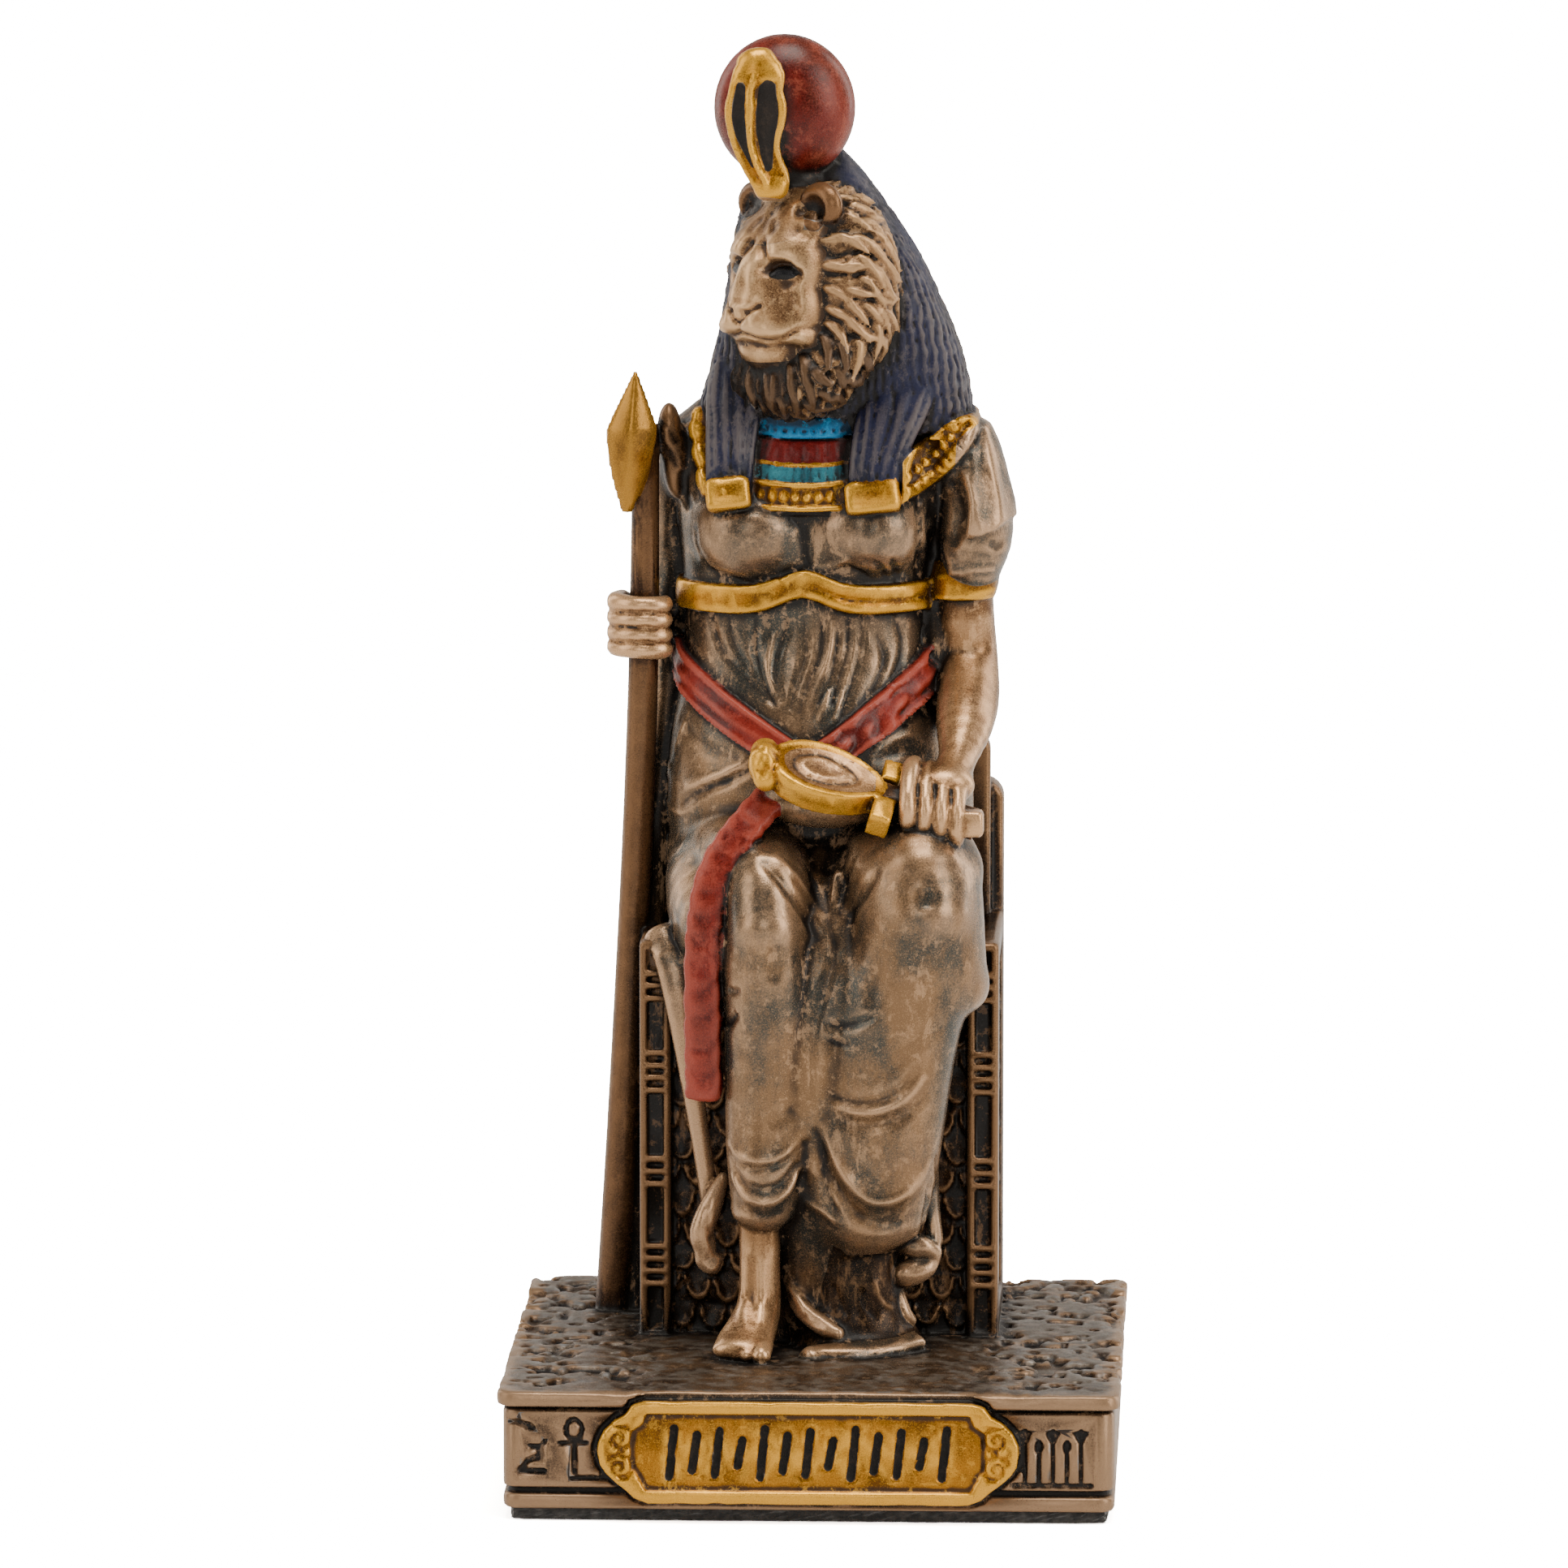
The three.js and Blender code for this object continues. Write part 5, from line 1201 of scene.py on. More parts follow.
far_bar = [(cross_at - 0.5, 1.0), (cross_at + 0.6, 1.0), (cross_at + 0.7, 2.7), (cross_at - 0.6, 2.7)]
clay.add(ankh_part(stem, 0.75), "shaft", 0.1)
clay.add(ankh_part(near_bar, 0.85), "gold", 0.05)
clay.add(ankh_part(far_bar, 0.7), "gold", 0.05)
clay.add(block((8.6, -6.4, 32.3), (10.3, -4.6, 33.9), 0.1, 0.3), "skin")
clay.draw([
    ([(6.05, 34.6), (6.05, 32.0)], 0.13, 0.4), ([(7.1, 34.7), (7.15, 31.8)], 0.13, 0.4),
    ([(8.1, 34.3), (8.2, 31.8)], 0.13, 0.4),
], 0.3)

# The lioness's head is turned to the viewer's left. Its face is built of soft lumps in a frame of its
# own: side to the viewer's right, front along the muzzle, and up.

head_turn = math.radians(44)
head_middle = np.array((-1.9, 2.4, 65.0))
turn_cos, turn_sin = math.cos(head_turn), math.sin(head_turn)
head_axes = np.array(((turn_cos, -turn_sin, 0), (-turn_sin, -turn_cos, 0), (0, 0, 1)))


def on_head(form):
    """A form given in the head's own frame."""
    corners = np.array([[(form.low, form.high)[i >> a & 1][a] for a in range(3)] for i in range(8)])
    corners = head_middle + corners @ head_axes

    def distance(x, y, z):
        dx, dy, dz = x - head_middle[0], y - head_middle[1], z - head_middle[2]
        side = dx * head_axes[0][0] + dy * head_axes[0][1]
        ahead = dx * head_axes[1][0] + dy * head_axes[1][1]
        return form.distance(side, ahead, dz + 0 * side)

    return Form(distance, corners.min(0), corners.max(0))


mane_size = np.array((6.15, 3.4, 7.15))
mane_back, mane_lift = -2.2, -0.5


def combed(turn, spread):
    """The ruff's fine relief: strands that run outwards from the face in a sway."""
    sway = 0.16 * np.sin(3.1 * spread + 2 * turn) + 0.10 * grain(0.35, 41, spread, turn)
    phase = turn - np.sign(turn) * 0.34 * spread + sway
    lock = abs(np.sin(phase * 13 + 1.5 * np.sin(2.6 * spread)))
    strand = abs(np.sin(phase * 39 + 4 * spread))
    return 0.34 * (np.sqrt(lock) - 0.7) + 0.15 * (strand - 0.5)


def mane(side, ahead, up):
    forward = 2.3 * step(1.6, 6.4, -up)
    across, out = abs(side) / mane_size[0], (ahead - mane_back - forward) / mane_size[1]
    rise = (up - mane_lift) / mane_size[2]
    reach = (across ** 2.4 + abs(out) ** 2.4 + abs(rise) ** 2.4) ** (1 / 2.4) + 1e-4
    spread = np.arccos(np.clip(out / reach, -1, 1))
    relief = combed(np.arctan2(side / mane_size[0], rise), spread)
    return (reach - 1) * 4.4 - relief * step(0.3, 0.7, spread)


clay.add(on_head(Form(mane, (-6.6, -5.8, -8.2), (6.6, 3.6, 7.1))), "fur", 0.2)
# Painted shade: the lower ruff under the chin is painted in a darker fur.
clay.tint(on_head(ball((0.2, 1.2, -5.4), (3.3, 2.6, 1.8))), "beard")
clay.tint(on_head(ball((0.0, 2.6, 4.6), (3.2, 2.2, 1.5))), "fur")

# Each row holds a height and how far the face stands forward there, from its middle out to the cheek.
face_rows = [
    (-5.4, 0.6, 0.4, -0.2, -1.0, -1.8, -2.2, -2.4), (-4.8, 2.3, 2.1, 1.5, 0.3, -0.6, -1.0, -1.6),
    (-4.1, 3.05, 2.95, 2.6, 1.7, 0.4, -0.2, -0.8), (-3.4, 3.25, 3.2, 2.95, 2.4, 1.3, 0.5, -0.1),
    (-2.85, 3.4, 3.4, 3.3, 2.9, 2.3, 1.5, 0.5), (-2.4, 4.1, 4.15, 4.1, 3.8, 3.0, 2.05, 0.7),
    (-1.9, 4.42, 4.5, 4.45, 4.1, 3.2, 2.1, 0.85), (-1.3, 4.55, 4.6, 4.4, 3.85, 2.95, 2.0, 1.0),
    (-0.7, 4.75, 4.7, 4.3, 3.5, 2.65, 1.95, 1.05), (0.0, 4.45, 4.4, 4.0, 3.1, 2.45, 1.9, 1.05),
    (0.7, 4.2, 4.15, 3.55, 2.7, 2.35, 1.9, 1.0), (1.4, 4.05, 3.95, 3.1, 2.3, 2.2, 1.85, 0.9),
    (2.0, 3.85, 3.7, 2.95, 2.35, 2.3, 1.75, 0.7), (2.7, 3.3, 3.3, 3.2, 2.95, 2.4, 1.5, 0.3),
    (3.4, 2.8, 2.9, 2.95, 2.6, 2.0, 1.1, 0.0), (4.4, 2.1, 2.15, 2.0, 1.65, 1.1, 0.2, -0.9),
    (5.4, 1.2, 1.2, 1.0, 0.6, 0.0, -0.8, -1.7), (6.4, 0.0, 0.0, -0.2, -0.6, -1.2, -1.8, -2.4),
]
cell, column_step = 0.05, 0.7
fine_up, fine_side = np.arange(-5.4, 6.41, cell), np.arange(0, 4.4, cell)
columns = eased(face_rows)(fine_up)
columns = [columns[1]] + columns
front_map = np.array(eased([(column_step * (k - 1), *c) for k, c in enumerate(columns)])(fine_side))
up_map, side_map = fine_up[:, None], fine_side[None, :]
face_lines = [
    ([(0, -2.2), (0.7, -2.38), (1.4, -2.55), (2.2, -2.5), (2.8, -2.25), (3.2, -1.88),
     (3.8, -1.85)], 0.14, 0.5), ([(0, -1.55), (0, -2.2)], 0.12, 0.12),
    ([(0, -1.55), (0.45, -1.3), (0.75, -1.0)], 0.12, 0.28),
    ([(0.45, -0.85), (0.85, -0.8), (1.3, -0.5)], 0.2, 0.5),
    ([(1.3, -0.5), (1.5, -0.85), (1.4, -1.2)], 0.16, 0.18),
    ([(0.0, -0.25), (0.5, -0.3), (0.9, -0.25)], 0.16, 0.12),
    ([(1.6, -0.1), (2.1, -0.9), (2.5, -1.5)], 0.35, 0.14),
    ([(1.15, 1.0), (1.7, 0.3), (1.9, -0.3)], 0.22, 0.16),
    ([(2.0, 0.9), (2.6, 0.2), (2.9, -0.5)], 0.26, 0.14),
    ([(0.55, 3.1), (1.0, 2.4), (1.15, 1.7)], 0.34, 0.42),
    ([(0.95, 1.6), (1.5, 2.0), (2.2, 1.98), (2.95, 1.5)], 0.14, 0.22),
    ([(1.15, 1.5), (1.6, 2.1), (2.3, 2.15), (3.0, 1.5), (2.4, 0.9), (1.6, 0.9), (1.15, 1.5)], 0.3, 0.2),
    ([(0.6, 4.5), (1.0, 4.0)], 0.22, 0.2), ([(2.3, 4.1), (2.9, 3.8)], 0.22, 0.18),
    ([(0, 5.6), (0, 4.2)], 0.25, 0.12), ([(0.5, -3.0), (1.3, -3.05), (2.0, -2.95)], 0.2, 0.1),
    ([(2.5, -3.0), (2.9, -3.4), (3.6, -3.4)], 0.4, 0.35),
    ([(1.0, 2.15), (1.6, 2.5), (2.4, 2.4), (3.0, 1.95)], 0.2, -0.14),
    ([(1.2, 1.12), (1.9, 0.92), (2.8, 1.25)], 0.17, -0.18),
    ([(0.2, -3.55), (0.9, -3.6), (1.6, -3.5)], 0.35, -0.12),
]
for line, width, depth in face_lines:
    drawn = smooth(line, 12) if len(line) > 2 else line
    front_map = front_map - depth * np.exp(-(near_line(side_map, up_map, drawn) / width) ** 2)
front_map = front_map - 2.2 * step(3.2, 4.3, side_map + 0.12 * np.sin(up_map * 2.3))
eye_bulge = ((side_map - 2.1) / 0.85) ** 2 + ((up_map - 1.52) / 0.42) ** 2
front_map = front_map + 0.3 * np.sqrt(np.clip(1 - eye_bulge, 0, 1))
front_map = front_map + 0.03 * grain(0.5, 42, side_map * 2, up_map)
rise_slope, side_slope = np.gradient(front_map, cell)
slope_map = np.sqrt(1 + rise_slope ** 2 + side_slope ** 2)


def read_map(grid, side, up):
    """The value of a face map between its cells."""
    at_up = np.clip((up - fine_up[0]) / cell, 0, grid.shape[0] - 1.01)
    at_side = np.clip(abs(side) / cell, 0, grid.shape[1] - 1.01)
    i, j = at_up.astype(int), at_side.astype(int)
    s, t = at_up - i, at_side - j
    upper = grid[i + 1, j] * (1 - t) + grid[i + 1, j + 1] * t
    return (grid[i, j] * (1 - t) + grid[i, j + 1] * t) * (1 - s) + upper * s


def face(side, ahead, up):
    gap = (ahead - read_map(front_map, side, up)) / read_map(slope_map, side, up)
    return np.maximum(gap, np.maximum(np.maximum(abs(side) - 4.3, -0.6 - ahead), abs(up - 0.5) - 5.9))


def eye(side, ahead, up):
    almond = ((abs(side) - 2.05) / 0.6) ** 2 + ((up - 1.5) / 0.3) ** 2
    return np.maximum(np.sqrt(almond) - 1.4, 1.0 - ahead) * 0.5


clay.add(on_head(Form(face, (-4.4, -2.4, -5.4), (4.4, 5.0, 6.4))), "face", 0.35)
clay.tint(on_head(Form(eye, (-3.0, 1.0, 0.9), (3.0, 3.6, 2.1))), "eye")

# Locks lie over the combed ruff in rings, from the cheeks outwards and round under the chin. Each is
# a tapered curl with a free tip. The round ears stand above it, with tufts at their feet.

rng = np.random.default_rng(11)


def mane_point(turn, spread, lift):
    """A place on the ruff: turn round the face from its top, spread from the face to the wig."""
    tilt = 0.62 + 0.92 * spread
    local = np.array((math.sin(tilt) * math.sin(turn), math.cos(tilt), math.sin(tilt) * math.cos(turn)))
    local /= (abs(local) ** 2.4).sum() ** (1 / 2.4)
    local = local * (mane_size + lift) + (0, mane_back, mane_lift)
    local[1] += 2.3 * step(1.6, 6.4, -local[2])
    return head_middle + local @ head_axes


for ring, (spread, count) in enumerate(((-0.06, 20), (0.2, 23), (0.45, 25), (0.68, 26), (0.88, 24))):
    for i in range(count):
        turn = math.radians(28) + math.radians(304) * (i + 0.5 * (ring % 2) + 0.3 * rng.random()) / count
        drift = 0.34 * math.sin(turn) ** 2 * math.cos(turn * 0.7) if turn < math.pi else -0.24
        drift += 0.05 * rng.standard_normal()
        length = 0.46 + 0.16 * rng.random()
        curl = 0.05 * rng.standard_normal() - 0.06
        points = []
        for share, thick in ((0, 0.1), (0.3, 0.46), (0.65, 0.34), (1, 0.03)):
            at = turn + drift * share + curl * math.sin(math.pi * share * 1.5)
            lift = -0.15 + 0.5 * share ** 1.6
            points.append((*mane_point(at, spread + length * share, lift), thick, thick * 1.1))
        outward = mane_point(turn, spread + 0.2, 1) - mane_point(turn, spread + 0.2, 0)
        across = np.cross(np.array(points[3][:3]) - points[0][:3], outward)
        # Locks low under the chin take the darker fur as painted shade.
        lower = points[1][2] < 62.5 - 0.4 * (points[1][0] - 1)
        clay.add(sweep(points, across, 1.15, 8), "beard" if lower else "fur", 0.03)

# The hollow inside each ear is painted in the darker fur as shade.
for side, lift in ((-1, 5.3), (1, 5.6)):
    clay.add(on_head(ball((side * 2.8, 0.0, lift), (1.65, 0.85, 1.4))), "shaft", 0.25)
    clay.cut(on_head(ball((side * 2.65, 0.95, lift - 0.2), (1.2, 0.8, 1.0))), 0.15)
    clay.tint(on_head(ball((side * 2.7, 0.6, lift - 0.2), (1.1, 0.7, 0.9))), "beard")
    clay.add(on_head(ball((side * 2.3, 0.8, lift - 1.25), (1.1, 0.6, 0.55))), "shaft", 0.3)
    for shift in (-0.5, 0.0, 0.5):
        tuft = [
            (side * (2.5 + shift), 0.75, lift - 1.3, 0.3),
            (side * (2.6 + shift * 0.8), 0.75, lift - 0.75, 0.2),
            (side * (2.75 + shift * 0.6), 0.6, lift - 0.25, 0.05),
        ]
        clay.add(on_head(sweep(tuft, steps=6)), "fur", 0.08)

# The wig falls in fine strands from the crown of the head to the shoulders, with a lappet in front of
# each. Navy paint, dry-brushed with bronze.

wig_rows = [
    (56.2, 0.9, 6.2, 8.2, 4.2), (57.6, 0.85, 6.1, 8.35, 4.7), (60.5, 1.0, 5.9, 7.7, 5.0),
    (64.4, 0.6, 5.8, 6.6, 4.9), (67.6, 0.05, 5.95, 5.5, 4.3), (70.0, -0.4, 6.0, 4.2, 3.5),
]
crown_rows = [
    (64.0, 0.65, 5.9, 6.6, 4.6), (67.6, 0.05, 6.2, 5.55, 4.2), (70.3, -0.5, 6.2, 4.3, 3.6),
    (71.8, -0.45, 6.1, 3.2, 2.8), (72.8, -0.1, 6.1, 2.0, 1.9), (73.6, 0.3, 6.1, 0.8, 0.8),
]


def strands(height, angle):
    wave = 0.035 * np.sin(height * 0.6 + 3 * angle) + 0.01 * np.sin(height * 2.3 + 9 * angle)
    groove = np.sqrt(abs(np.sin((angle + wave) * 36)))
    twist = 0.05 * np.sin(height * 5.5 + 4 * np.sin(36 * angle))
    fade = step(0, 4, 73.5 - height)
    return fade * (0.29 * (groove - 0.72) + twist)


clay.add(upright(wig_rows, 3.4, strands), "wig", 0.05)
clay.add(upright(crown_rows, 2.2, strands), "wig", 0.05)
right_lappet = [
    (52.0, 3.2, 0.4, 1.5, 0.8), (55, 3.65, 1.0, 1.8, 1.1), (58.2, 4.6, 2.4, 2.3, 1.6),
    (61.5, 5.3, 4.4, 2.6, 2.0),
]
left_lappet = [
    (52.2, -5.65, 0.7, 1.35, 0.8), (56.2, -5.5, 1.6, 1.6, 1.05), (60.0, -5.1, 3.4, 1.85, 1.4),
    (63.4, -4.4, 5.4, 1.7, 1.3),
]


def lappet_strands(height, angle):
    across = np.clip(np.tan(np.clip(angle, -1.2, 1.2)), -1.8, 1.8) * 4.2
    wave = 0.5 * np.sin(height * 0.55) + 0.2 * np.sin(height * 1.4 + across)
    return 0.3 * (np.sqrt(abs(np.sin(across + wave))) - 0.75) * (abs(angle) < 1.3)


for rows in (right_lappet, left_lappet):
    clay.add(upright(rows, 2.8, lappet_strands), "wig", 0.05)
clay.press(clay.on_front([(-4.15, 57.5), (-4.35, 55.5), (-4.55, 53.7)]), 0.2, 0.35, 0.2)
lappet_ends = ((3.24, 0.2, 53.45, 1.6), (-5.7, 0.3, 53.6, 1.28))
for middle_x, middle_y, top, half in lappet_ends:
    upper = (middle_x, middle_y, top - 0.75, half + 0.1, 0.8)
    lower = (middle_x + 0.04, middle_y - 0.1, top - 1.1, half + 0.1, 0.85)
    clay.add(sweep([upper, lower], power=6, steps=3), "gold")
    line = [(middle_x - half * 0.8, top - 1.45), (middle_x + half, top - 1.5)]
    clay.press(clay.on_front(line, 4), 0.12, 0.1, 0)
clay.add(ball((-5.95, -0.55, 52.9), (0.16, 0.16, 0.16)), "gold")

# The bead collar: three painted bands round the neck between the lappets, a gold rim with a row of
# beads below them, a gold crescent with two rows of beads over the left shoulder, and a gold strip
# over the right one.

bib_rows = [(51.3, -1.2, 4.6, 6.0, 4.2), (54, -1.1, 4.8, 5.7, 3.95), (57.8, -0.9, 5.1, 4.6, 3.35)]
clay.add(upright(bib_rows), "shade", 0.1)


def level(height):
    """A band's height: it sags a little in front."""
    return lambda a: height + 0.9 * (1 - np.cos(a - 0.05))


def teeth(count, height, power):
    """Upright flutes round a band."""
    return lambda across, a: height * (abs(np.sin(a * count)) ** power - 0.6)


def bead_row(across, a):
    return 0.4 * np.exp(-(across / 0.32) ** 2) * (abs(np.sin(a * 20)) ** 0.8 - 0.3) - 0.12


def collar_band(height, half, out, paint, relief=None):
    clay.add(band(bib_rows, level(height), half, out, relief), paint)


collar_band(56.6, 0.62, 0.42, "cerulean",
            lambda across, a: -0.2 * np.exp(-((across + 0.2) / 0.13) ** 2) * (np.cos(a * 42) > 0))
collar_band(55.15, 0.72, 0.34, "crimson", teeth(17, 0.14, 0.5))
collar_band(54.42, 0.1, 0.5, "gold")
collar_band(53.8, 0.55, 0.34, "turquoise", teeth(26, 0.16, 0.6))
collar_band(53.2, 0.16, 0.6, "gold")
collar_band(52.45, 0.8, 0.42, "gold", bead_row)
collar_band(51.75, 0.17, 0.66, "gold")

shoulder_outline = [
    (5.0, 52.05), (6.05, 52.35), (7.3, 53.1), (8.5, 54.3), (9.45, 55.5), (9.9, 56.4), (9.8, 57.1),
    (9.3, 57.4), (8.6, 57.35), (7.7, 56.95), (6.8, 56.2), (5.8, 55.6), (5.0, 54.8),
]


def crescent_height(x, z):
    """The crescent's rise: a rim along its outer edge and two rows of beads."""
    edge = -within(x, z, shoulder_outline)
    outer = near_line(x, z, smooth(shoulder_outline[:8], 24))
    beads = 0.0
    for inset, count in ((0.75, 19), (1.5, 15)):
        row = [(px - inset * 0.62, pz + inset * 0.78) for px, pz in shoulder_outline[:7]]
        for spot in smooth(row, count):
            beads = np.maximum(beads, 0.36 * step(0.4, 0.1, np.hypot(x - spot[0], z - spot[1])))
    return step(0, 0.22, edge) * (0.4 + beads + 0.16 * step(0.4, 0.2, abs(outer - 0.2)))


clay.lay(shoulder_outline, (0.2, 9.0), crescent_height, "gold")
shoulder_strip = [(-7.15, 52.6, 0.4), (-7.45, 54.5, 0.42), (-7.5, 56.2, 0.7), (-7.4, 57.2, 0.55)]
points = [(x, clay.seen(x, z)[1] + 0.1, z, half, 0.45) for x, z, half in shoulder_strip]
clay.add(sweep(points, (1, 0.3, 0), 3, 14, lambda t, u, v: 0.12 * np.sin(t * 23 + u)), "gold", 0.1)

# The sun disc stands on the head with the rearing cobra in front of it: a gold hood with wavy raised
# edges, a ridge down it and dark hollows between.

disc_radius = 4.32
disc_middle = (-2.3, 4.0, figure_height - 4.55)
stand = [(69.4, -1.4, 4.6, 2.8, 2.6), (71.4, -1.8, 4.2, 2.2, 2.0), (72.7, -2.1, 4.0, 1.7, 1.4)]
hood = [
    (-3.0, 0.8, 71.6, 1.05, 0.8), (-3.1, 0.8, 72.2, 1.25, 0.9), (-3.6, 0.5, 73.3, 1.35, 0.9),
    (-3.95, 0.25, 74.5, 1.6, 0.7), (-3.97, 0.1, 75.7, 1.93, 0.65), (-3.92, 0.0, 76.7, 2.0, 0.6),
    (-3.95, 0.05, 77.6, 1.75, 0.65), (-3.75, 0.1, 78.5, 1.65, 0.75), (-3.9, 0.3, 79.3, 1.2, 0.7),
    (-4.1, 0.6, 79.8, 0.4, 0.35),
]
cobra_back = [(-3.3, 2.3, 72.2, 0.9, 1.3), (-3.7, 1.8, 75.5, 1.2, 1.5), (-3.95, 1.6, 78.5, 0.9, 1.4)]


def hood_relief(t, u, v):
    body = step(0.02, 0.12, t) * (1 - step(0.72, 0.8, t))
    edges = 0.42 * np.exp(-((abs(u) - 0.88) / 0.14) ** 2)
    ridge = 0.55 * np.exp(-((u + 0.18) / 0.15) ** 2)
    eyes = 0.25 * np.exp(-((t - 0.86) / 0.02) ** 2 - ((abs(u) - 0.35) / 0.2) ** 2)
    brow = 0.2 * np.exp(-((t - 0.93) / 0.03) ** 2) - eyes
    return body * (edges + ridge - 0.42) + brow + 0.05 * np.sin(t * 70) * np.exp(-((u + 0.18) / 0.2) ** 2)


clay.add(ball(disc_middle, (disc_radius + 0.05, 3.0, 4.55)), "disc")
# The stand under the disc, between the ears, is painted in the darker fur as shade.
clay.add(upright(stand), "beard", 0.4)
clay.add(sweep(cobra_back), "shade", 0.3)
clay.add(sweep(hood, steps=24, power=2.6, relief=hood_relief), "gold", 0.1)
hollows = [
    [(-4.2, -0.1, 72.9, 0.2), (-4.7, -0.3, 74.3, 0.32), (-4.98, -0.3, 76.2, 0.42),
     (-4.8, -0.3, 78.2, 0.26)],
    [(-3.1, -0.1, 72.9, 0.3), (-3.3, -0.3, 74.5, 0.5), (-3.2, -0.3, 76.2, 0.68),
     (-3.2, -0.3, 78.0, 0.48)],
]
for line in hollows:
    clay.tint(sweep(line, steps=10), "shade")

# The casting as one skin, painted by hand: dark wash in its hollows, with painted shade added there
# and as a broad darkening round the deeper hollows, bronze rubbed bright on its high places, painted
# glints on the metal paints, and coloured areas with slightly uneven edges.


def along(axis, part):
    """The slices that take a part of one axis and the whole of the others."""
    return tuple(part if a == axis else slice(None) for a in range(3))


def skin_of(field):
    """The clay's skin: a point in each cell that the skin crosses, and four-sided faces between them."""
    inside = field < 0
    shape = np.array(field.shape)
    reach = np.array([shape[1] * shape[2], shape[2], 1])
    cells, spots = [], []
    for axis in range(3):
        at = np.argwhere(inside[along(axis, slice(0, -1))] != inside[along(axis, slice(1, None))])
        flat = at @ reach
        below = field.ravel()[flat].astype(float)
        above = field.ravel()[flat + reach[axis]].astype(float)
        spot = at.astype(float)
        spot[:, axis] += below / (below - above)
        b, c = reach[(axis + 1) % 3], reach[(axis + 2) % 3]
        ring = flat[:, None] - np.array([0, b, b + c, c])
        ring[below > 0] = ring[below > 0][:, ::-1]
        cells.append(ring)
        spots.append(np.repeat(spot, 4, axis=0))
    cells, spots = np.vstack(cells), np.vstack(spots)
    used, faces = np.unique(cells, return_inverse=True)
    faces = faces.reshape(cells.shape)
    count = np.bincount(faces.ravel())
    points = np.stack([np.bincount(faces.ravel(), spots[:, a]) / count for a in range(3)], axis=1)
    return points, faces


def largest_body(points, faces):
    """Leaves out loose crumbs."""
    label = np.arange(len(points))
    while True:
        least = label[faces].min(1)
        before = label.copy()
        for corner in range(4):
            np.minimum.at(label, faces[:, corner], least)
        label = label[label]
        if (label == before).all():
            break
    kept = label[faces[:, 0]] == np.bincount(label).argmax()
    used, faces = np.unique(faces[kept], return_inverse=True)
    return points[used], faces.reshape(-1, 4)


def blurred(solid, radius):
    """The share of solid within a box of that radius."""
    reach = max(int(round(radius / pitch)), 1)
    for axis in range(3):
        total = np.cumsum(solid, axis=axis, dtype=np.float32)
        pad = [(0, 0)] * 3
        pad[axis] = (reach + 1, reach)
        total = np.pad(total, pad, mode="edge")
        first, last = slice(0, solid.shape[axis]), slice(2 * reach + 1, None)
        solid = (total[along(axis, last)] - total[along(axis, first)]) / (2 * reach + 1)
    return solid


def sampled(values, points):
    """A grid's values at points between its places."""
    at = np.clip((points - clay.low) / pitch, 0, np.array(values.shape) - 1.001)
    cell = at.astype(int)
    t = at - cell
    total = 0
    for corner in range(8):
        bits = [corner >> a & 1 for a in range(3)]
        weight = np.prod([t[:, a] if bits[a] else 1 - t[:, a] for a in range(3)], axis=0)
        total = total + weight * values[cell[:, 0] + bits[0], cell[:, 1] + bits[1], cell[:, 2] + bits[2]]
    return total


points, faces = largest_body(*skin_of(clay.field))
places = (clay.low + pitch * points + (0, 0, slab_top)) * 1e-3
casting = bpy.data.meshes.new("casting")
casting.vertices.add(len(places))
casting.vertices.foreach_set("co", places.astype(np.float32).ravel())
casting.loops.add(4 * len(faces))
casting.loops.foreach_set("vertex_index", faces.astype(np.int32).ravel())
casting.polygons.add(len(faces))
casting.polygons.foreach_set("loop_start", np.arange(0, 4 * len(faces), 4, dtype=np.int32))
casting.update(calc_edges=True)
statue = placed("statue", casting)
triangle_limit = 196000
thin = statue.modifiers.new("thin", "DECIMATE")
thin.ratio = min(1.0, triangle_limit / (2 * len(faces)))
graph = bpy.context.evaluated_depsgraph_get()
thinned = bpy.data.meshes.new_from_object(statue.evaluated_get(graph))
statue.modifiers.clear()
statue.data = thinned
thinned.name = "statue"
thinned.shade_smooth()

count = len(thinned.vertices)
spots = np.empty(count * 3, np.float32)
thinned.vertices.foreach_get("co", spots)
spots = spots.reshape(-1, 3).astype(float) * 1000 - (0, 0, slab_top)


def keep(name, values):
    thinned.attributes.new(name, "FLOAT", "POINT").data.foreach_set("value", values.astype(np.float32))


solid = np.clip(0.5 - clay.field / pitch, 0, 1)
keep("crevice", sampled(blurred(solid, 0.35), spots))
keep("hollow", sampled(blurred(solid, 1.4), spots))

paints = sorted({paint for form, paint in clay.painted})
gaps = {paint: np.full(count, far) for paint in paints}
for form, paint in clay.painted:
    near = np.flatnonzero(((spots > form.low - 1) & (spots < form.high + 1)).all(1))
    if len(near):
        gap = np.asarray(form.distance(*spots[near].T), float)
        gaps[paint][near] = np.minimum(gaps[paint][near], gap)
for paint in paints:
    others = np.min([gaps[other] for other in paints if other != paint], axis=0)
    keep(paint, np.clip(others - gaps[paint], -1, 1))

look, shader, place = material("cold_cast_bronze")


def kept(name):
    return place.node("Attribute", {"attribute_name": name}, out="Fac")


crevice, hollow = kept("crevice"), kept("hollow")
wobble = place.noise(900, detail=3) - 0.5
speckle = place.noise(9000, detail=2)
glints = place.noise(16000, detail=1, roughness=0.7).ramp(0.60, 0.70)
patches = place.noise(330, detail=4, roughness=0.6, stretch=(1, 1, 0.5))
clouds = place.noise(170, detail=2)
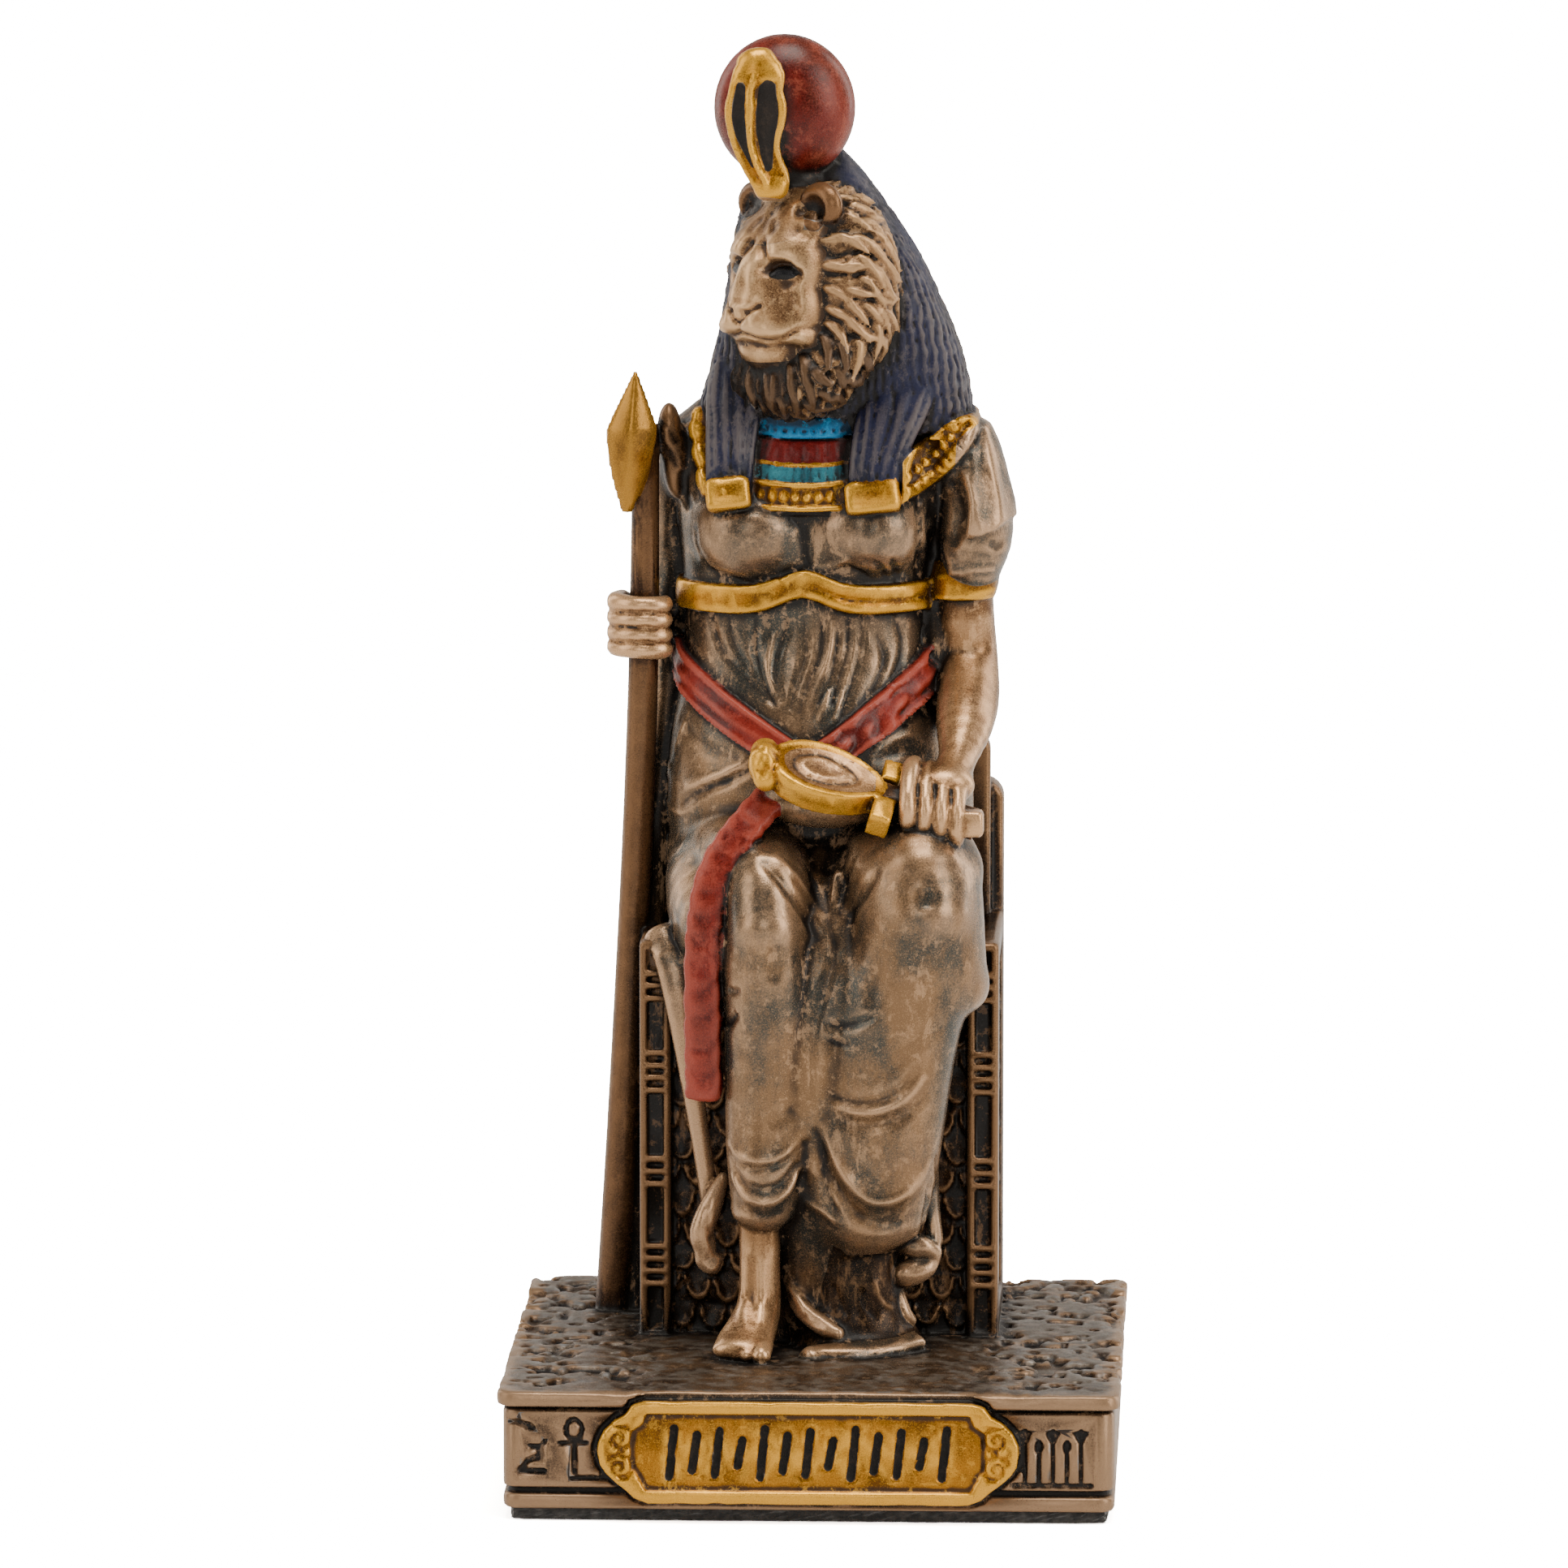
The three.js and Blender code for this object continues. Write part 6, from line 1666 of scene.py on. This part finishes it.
# Each paint: its dark and its light tone, the tone where it is rubbed, and how metallic and rough it is.
looks = {
    "stone": ((0.015, 0.008, 0.0045), (0.072, 0.042, 0.022), (0.28, 0.175, 0.1), 0.5, 0.33),
    "shade": ((0.003, 0.002, 0.0015), (0.008, 0.005, 0.004), (0.03, 0.019, 0.012), 0.0, 0.55),
    "throne": ((0.0035, 0.0018, 0.0008), (0.026, 0.0125, 0.0055), (0.2, 0.11, 0.052), 0.5, 0.31),
    "robe": ((0.042, 0.043, 0.038), (0.17, 0.098, 0.049), (0.44, 0.275, 0.158), 0.65, 0.28),
    "skin": ((0.1, 0.046, 0.018), (0.27, 0.145, 0.065), (0.58, 0.35, 0.18), 0.65, 0.29),
    "shaft": ((0.014, 0.006, 0.003), (0.055, 0.025, 0.01), (0.18, 0.092, 0.04), 0.5, 0.33),
    "face": ((0.09, 0.044, 0.018), (0.34, 0.195, 0.092), (0.58, 0.37, 0.19), 0.6, 0.33),
    "fur": ((0.032, 0.015, 0.006), (0.17, 0.092, 0.041), (0.43, 0.26, 0.128), 0.5, 0.34),
    "eye": ((0.003, 0.003, 0.0035), (0.006, 0.006, 0.007), (0.01, 0.01, 0.012), 0.0, 0.3),
    "beard": ((0.005, 0.0025, 0.0012), (0.024, 0.0125, 0.0065), (0.105, 0.06, 0.031), 0.4, 0.36),
    "wig": ((0.003, 0.004, 0.014), (0.009, 0.011, 0.034), (0.085, 0.072, 0.072), 0.0, 0.42),
    "brass": ((0.045, 0.017, 0.001), (0.15, 0.06, 0.0035), (0.37, 0.18, 0.026), 0.6, 0.26),
    "gold": ((0.09, 0.032, 0.001), (0.3, 0.122, 0.005), (0.66, 0.34, 0.035), 0.6, 0.29),
    "red": ((0.055, 0.003, 0.0015), (0.16, 0.011, 0.005), (0.3, 0.055, 0.035), 0.0, 0.32),
    "disc": ((0.026, 0.002, 0.001), (0.1, 0.0065, 0.003), (0.25, 0.06, 0.035), 0.0, 0.3),
    "crimson": ((0.04, 0.0015, 0.0015), (0.09, 0.004, 0.003), (0.16, 0.015, 0.012), 0.0, 0.32),
    "turquoise": ((0.003, 0.045, 0.065), (0.015, 0.13, 0.17), (0.05, 0.25, 0.3), 0.0, 0.4),
    "cerulean": ((0.0, 0.05, 0.13), (0.002, 0.14, 0.32), (0.008, 0.22, 0.44), 0.0, 0.38),
}
# The colours that the wash and the painted shade in the hollows darken each paint towards.
common_recess = (0.004, 0.003, 0.0025)
recessed = {
    "brass": (0.02, 0.008, 0.001),
    "gold": (0.03, 0.0105, 0.0008),
    "cerulean": (0.0, 0.012, 0.03),
    "face": (0.03, 0.014, 0.006),
}
base, high_base, low_base = (0.1, 0.08, 0.06, 1), (0.2, 0.2, 0.2, 1), (*common_recess, 1)
metal, rough = 0.5, 0.4
tone = (patches * 0.62 + clouds * 0.2 + speckle * 0.18).ramp(0.40, 0.58)
rise = (place.node("SeparateXYZ", values={"Vector": place}, out=2) - 0.0535) * 105
patina = (1 - rise * rise).clipped() * 0.55
for paint in paints:
    low, high, rubbed, metallic, roughness = looks[paint]
    edge = (kept(paint) + wobble * 0.12).ramp(-0.02, 0.02)
    share = tone - patina * tone if paint == "robe" else tone
    base = edge.mix(base, share.mix((*low, 1), (*high, 1)))
    high_base = edge.mix(high_base, (*rubbed, 1))
    low_base = edge.mix(low_base, (*recessed.get(paint, common_recess), 1))
    metal, rough = edge.blend(metal, metallic), edge.blend(rough, roughness)
rub = (0.5 - crevice + wobble * 0.09 + (speckle - 0.5) * 0.05 + (0.5 - hollow) * 0.3).ramp(0.01, 0.15)
base = (rub * 0.8).mix(base, high_base)
# Painted shade: a broad darkening of every paint round the deeper hollows.
broad_painted_shade = (hollow + wobble * 0.12 + (patches - 0.5) * 0.1).ramp(0.49, 0.66)
base = (broad_painted_shade * 0.62).mix(base, low_base)
# The dark wash that the casting has in its creases, with painted shade added where the hollows are deeper.
wash_and_shade = (crevice + wobble * 0.08 + (hollow - 0.5) * 0.5).ramp(0.51, 0.635)
base = (wash_and_shade * 0.95).mix(base, low_base)
streaks = place.noise(420, detail=6, roughness=0.8, stretch=(1, 1, 0.35)).ramp(0.57, 0.64)
chips = place.noise(1100, detail=5, roughness=0.75).ramp(0.55, 0.62)
scuffs = (streaks + chips * 0.7).clipped()
base = (scuffs * 0.5).mix(base, high_base)
# Painted glints: tiny specks on the metal paints lightened to the rubbed tone, outside the creases.
painted_glints = glints * (1 - wash_and_shade) * (metal * 2).clipped() * 0.55
base = painted_glints.mix(base, high_base)
lumpy = speckle * 0.5 + patches + clouds
place.dress(shader, {
    "Specular IOR Level": 0.22,
    "Base Color": base,
    "Metallic": metal * (1 - wash_and_shade * 0.9),
    "Roughness": rough + (speckle - 0.5) * 0.3 + (patches - 0.5) * 0.2 + wash_and_shade * 0.1,
    "Normal": place.node("Bump", values={"Height": lumpy, "Strength": 0.35, "Distance": 6e-5}),
})
thinned.materials.append(look)
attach(statue, "root")
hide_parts("sekhmet_statue")
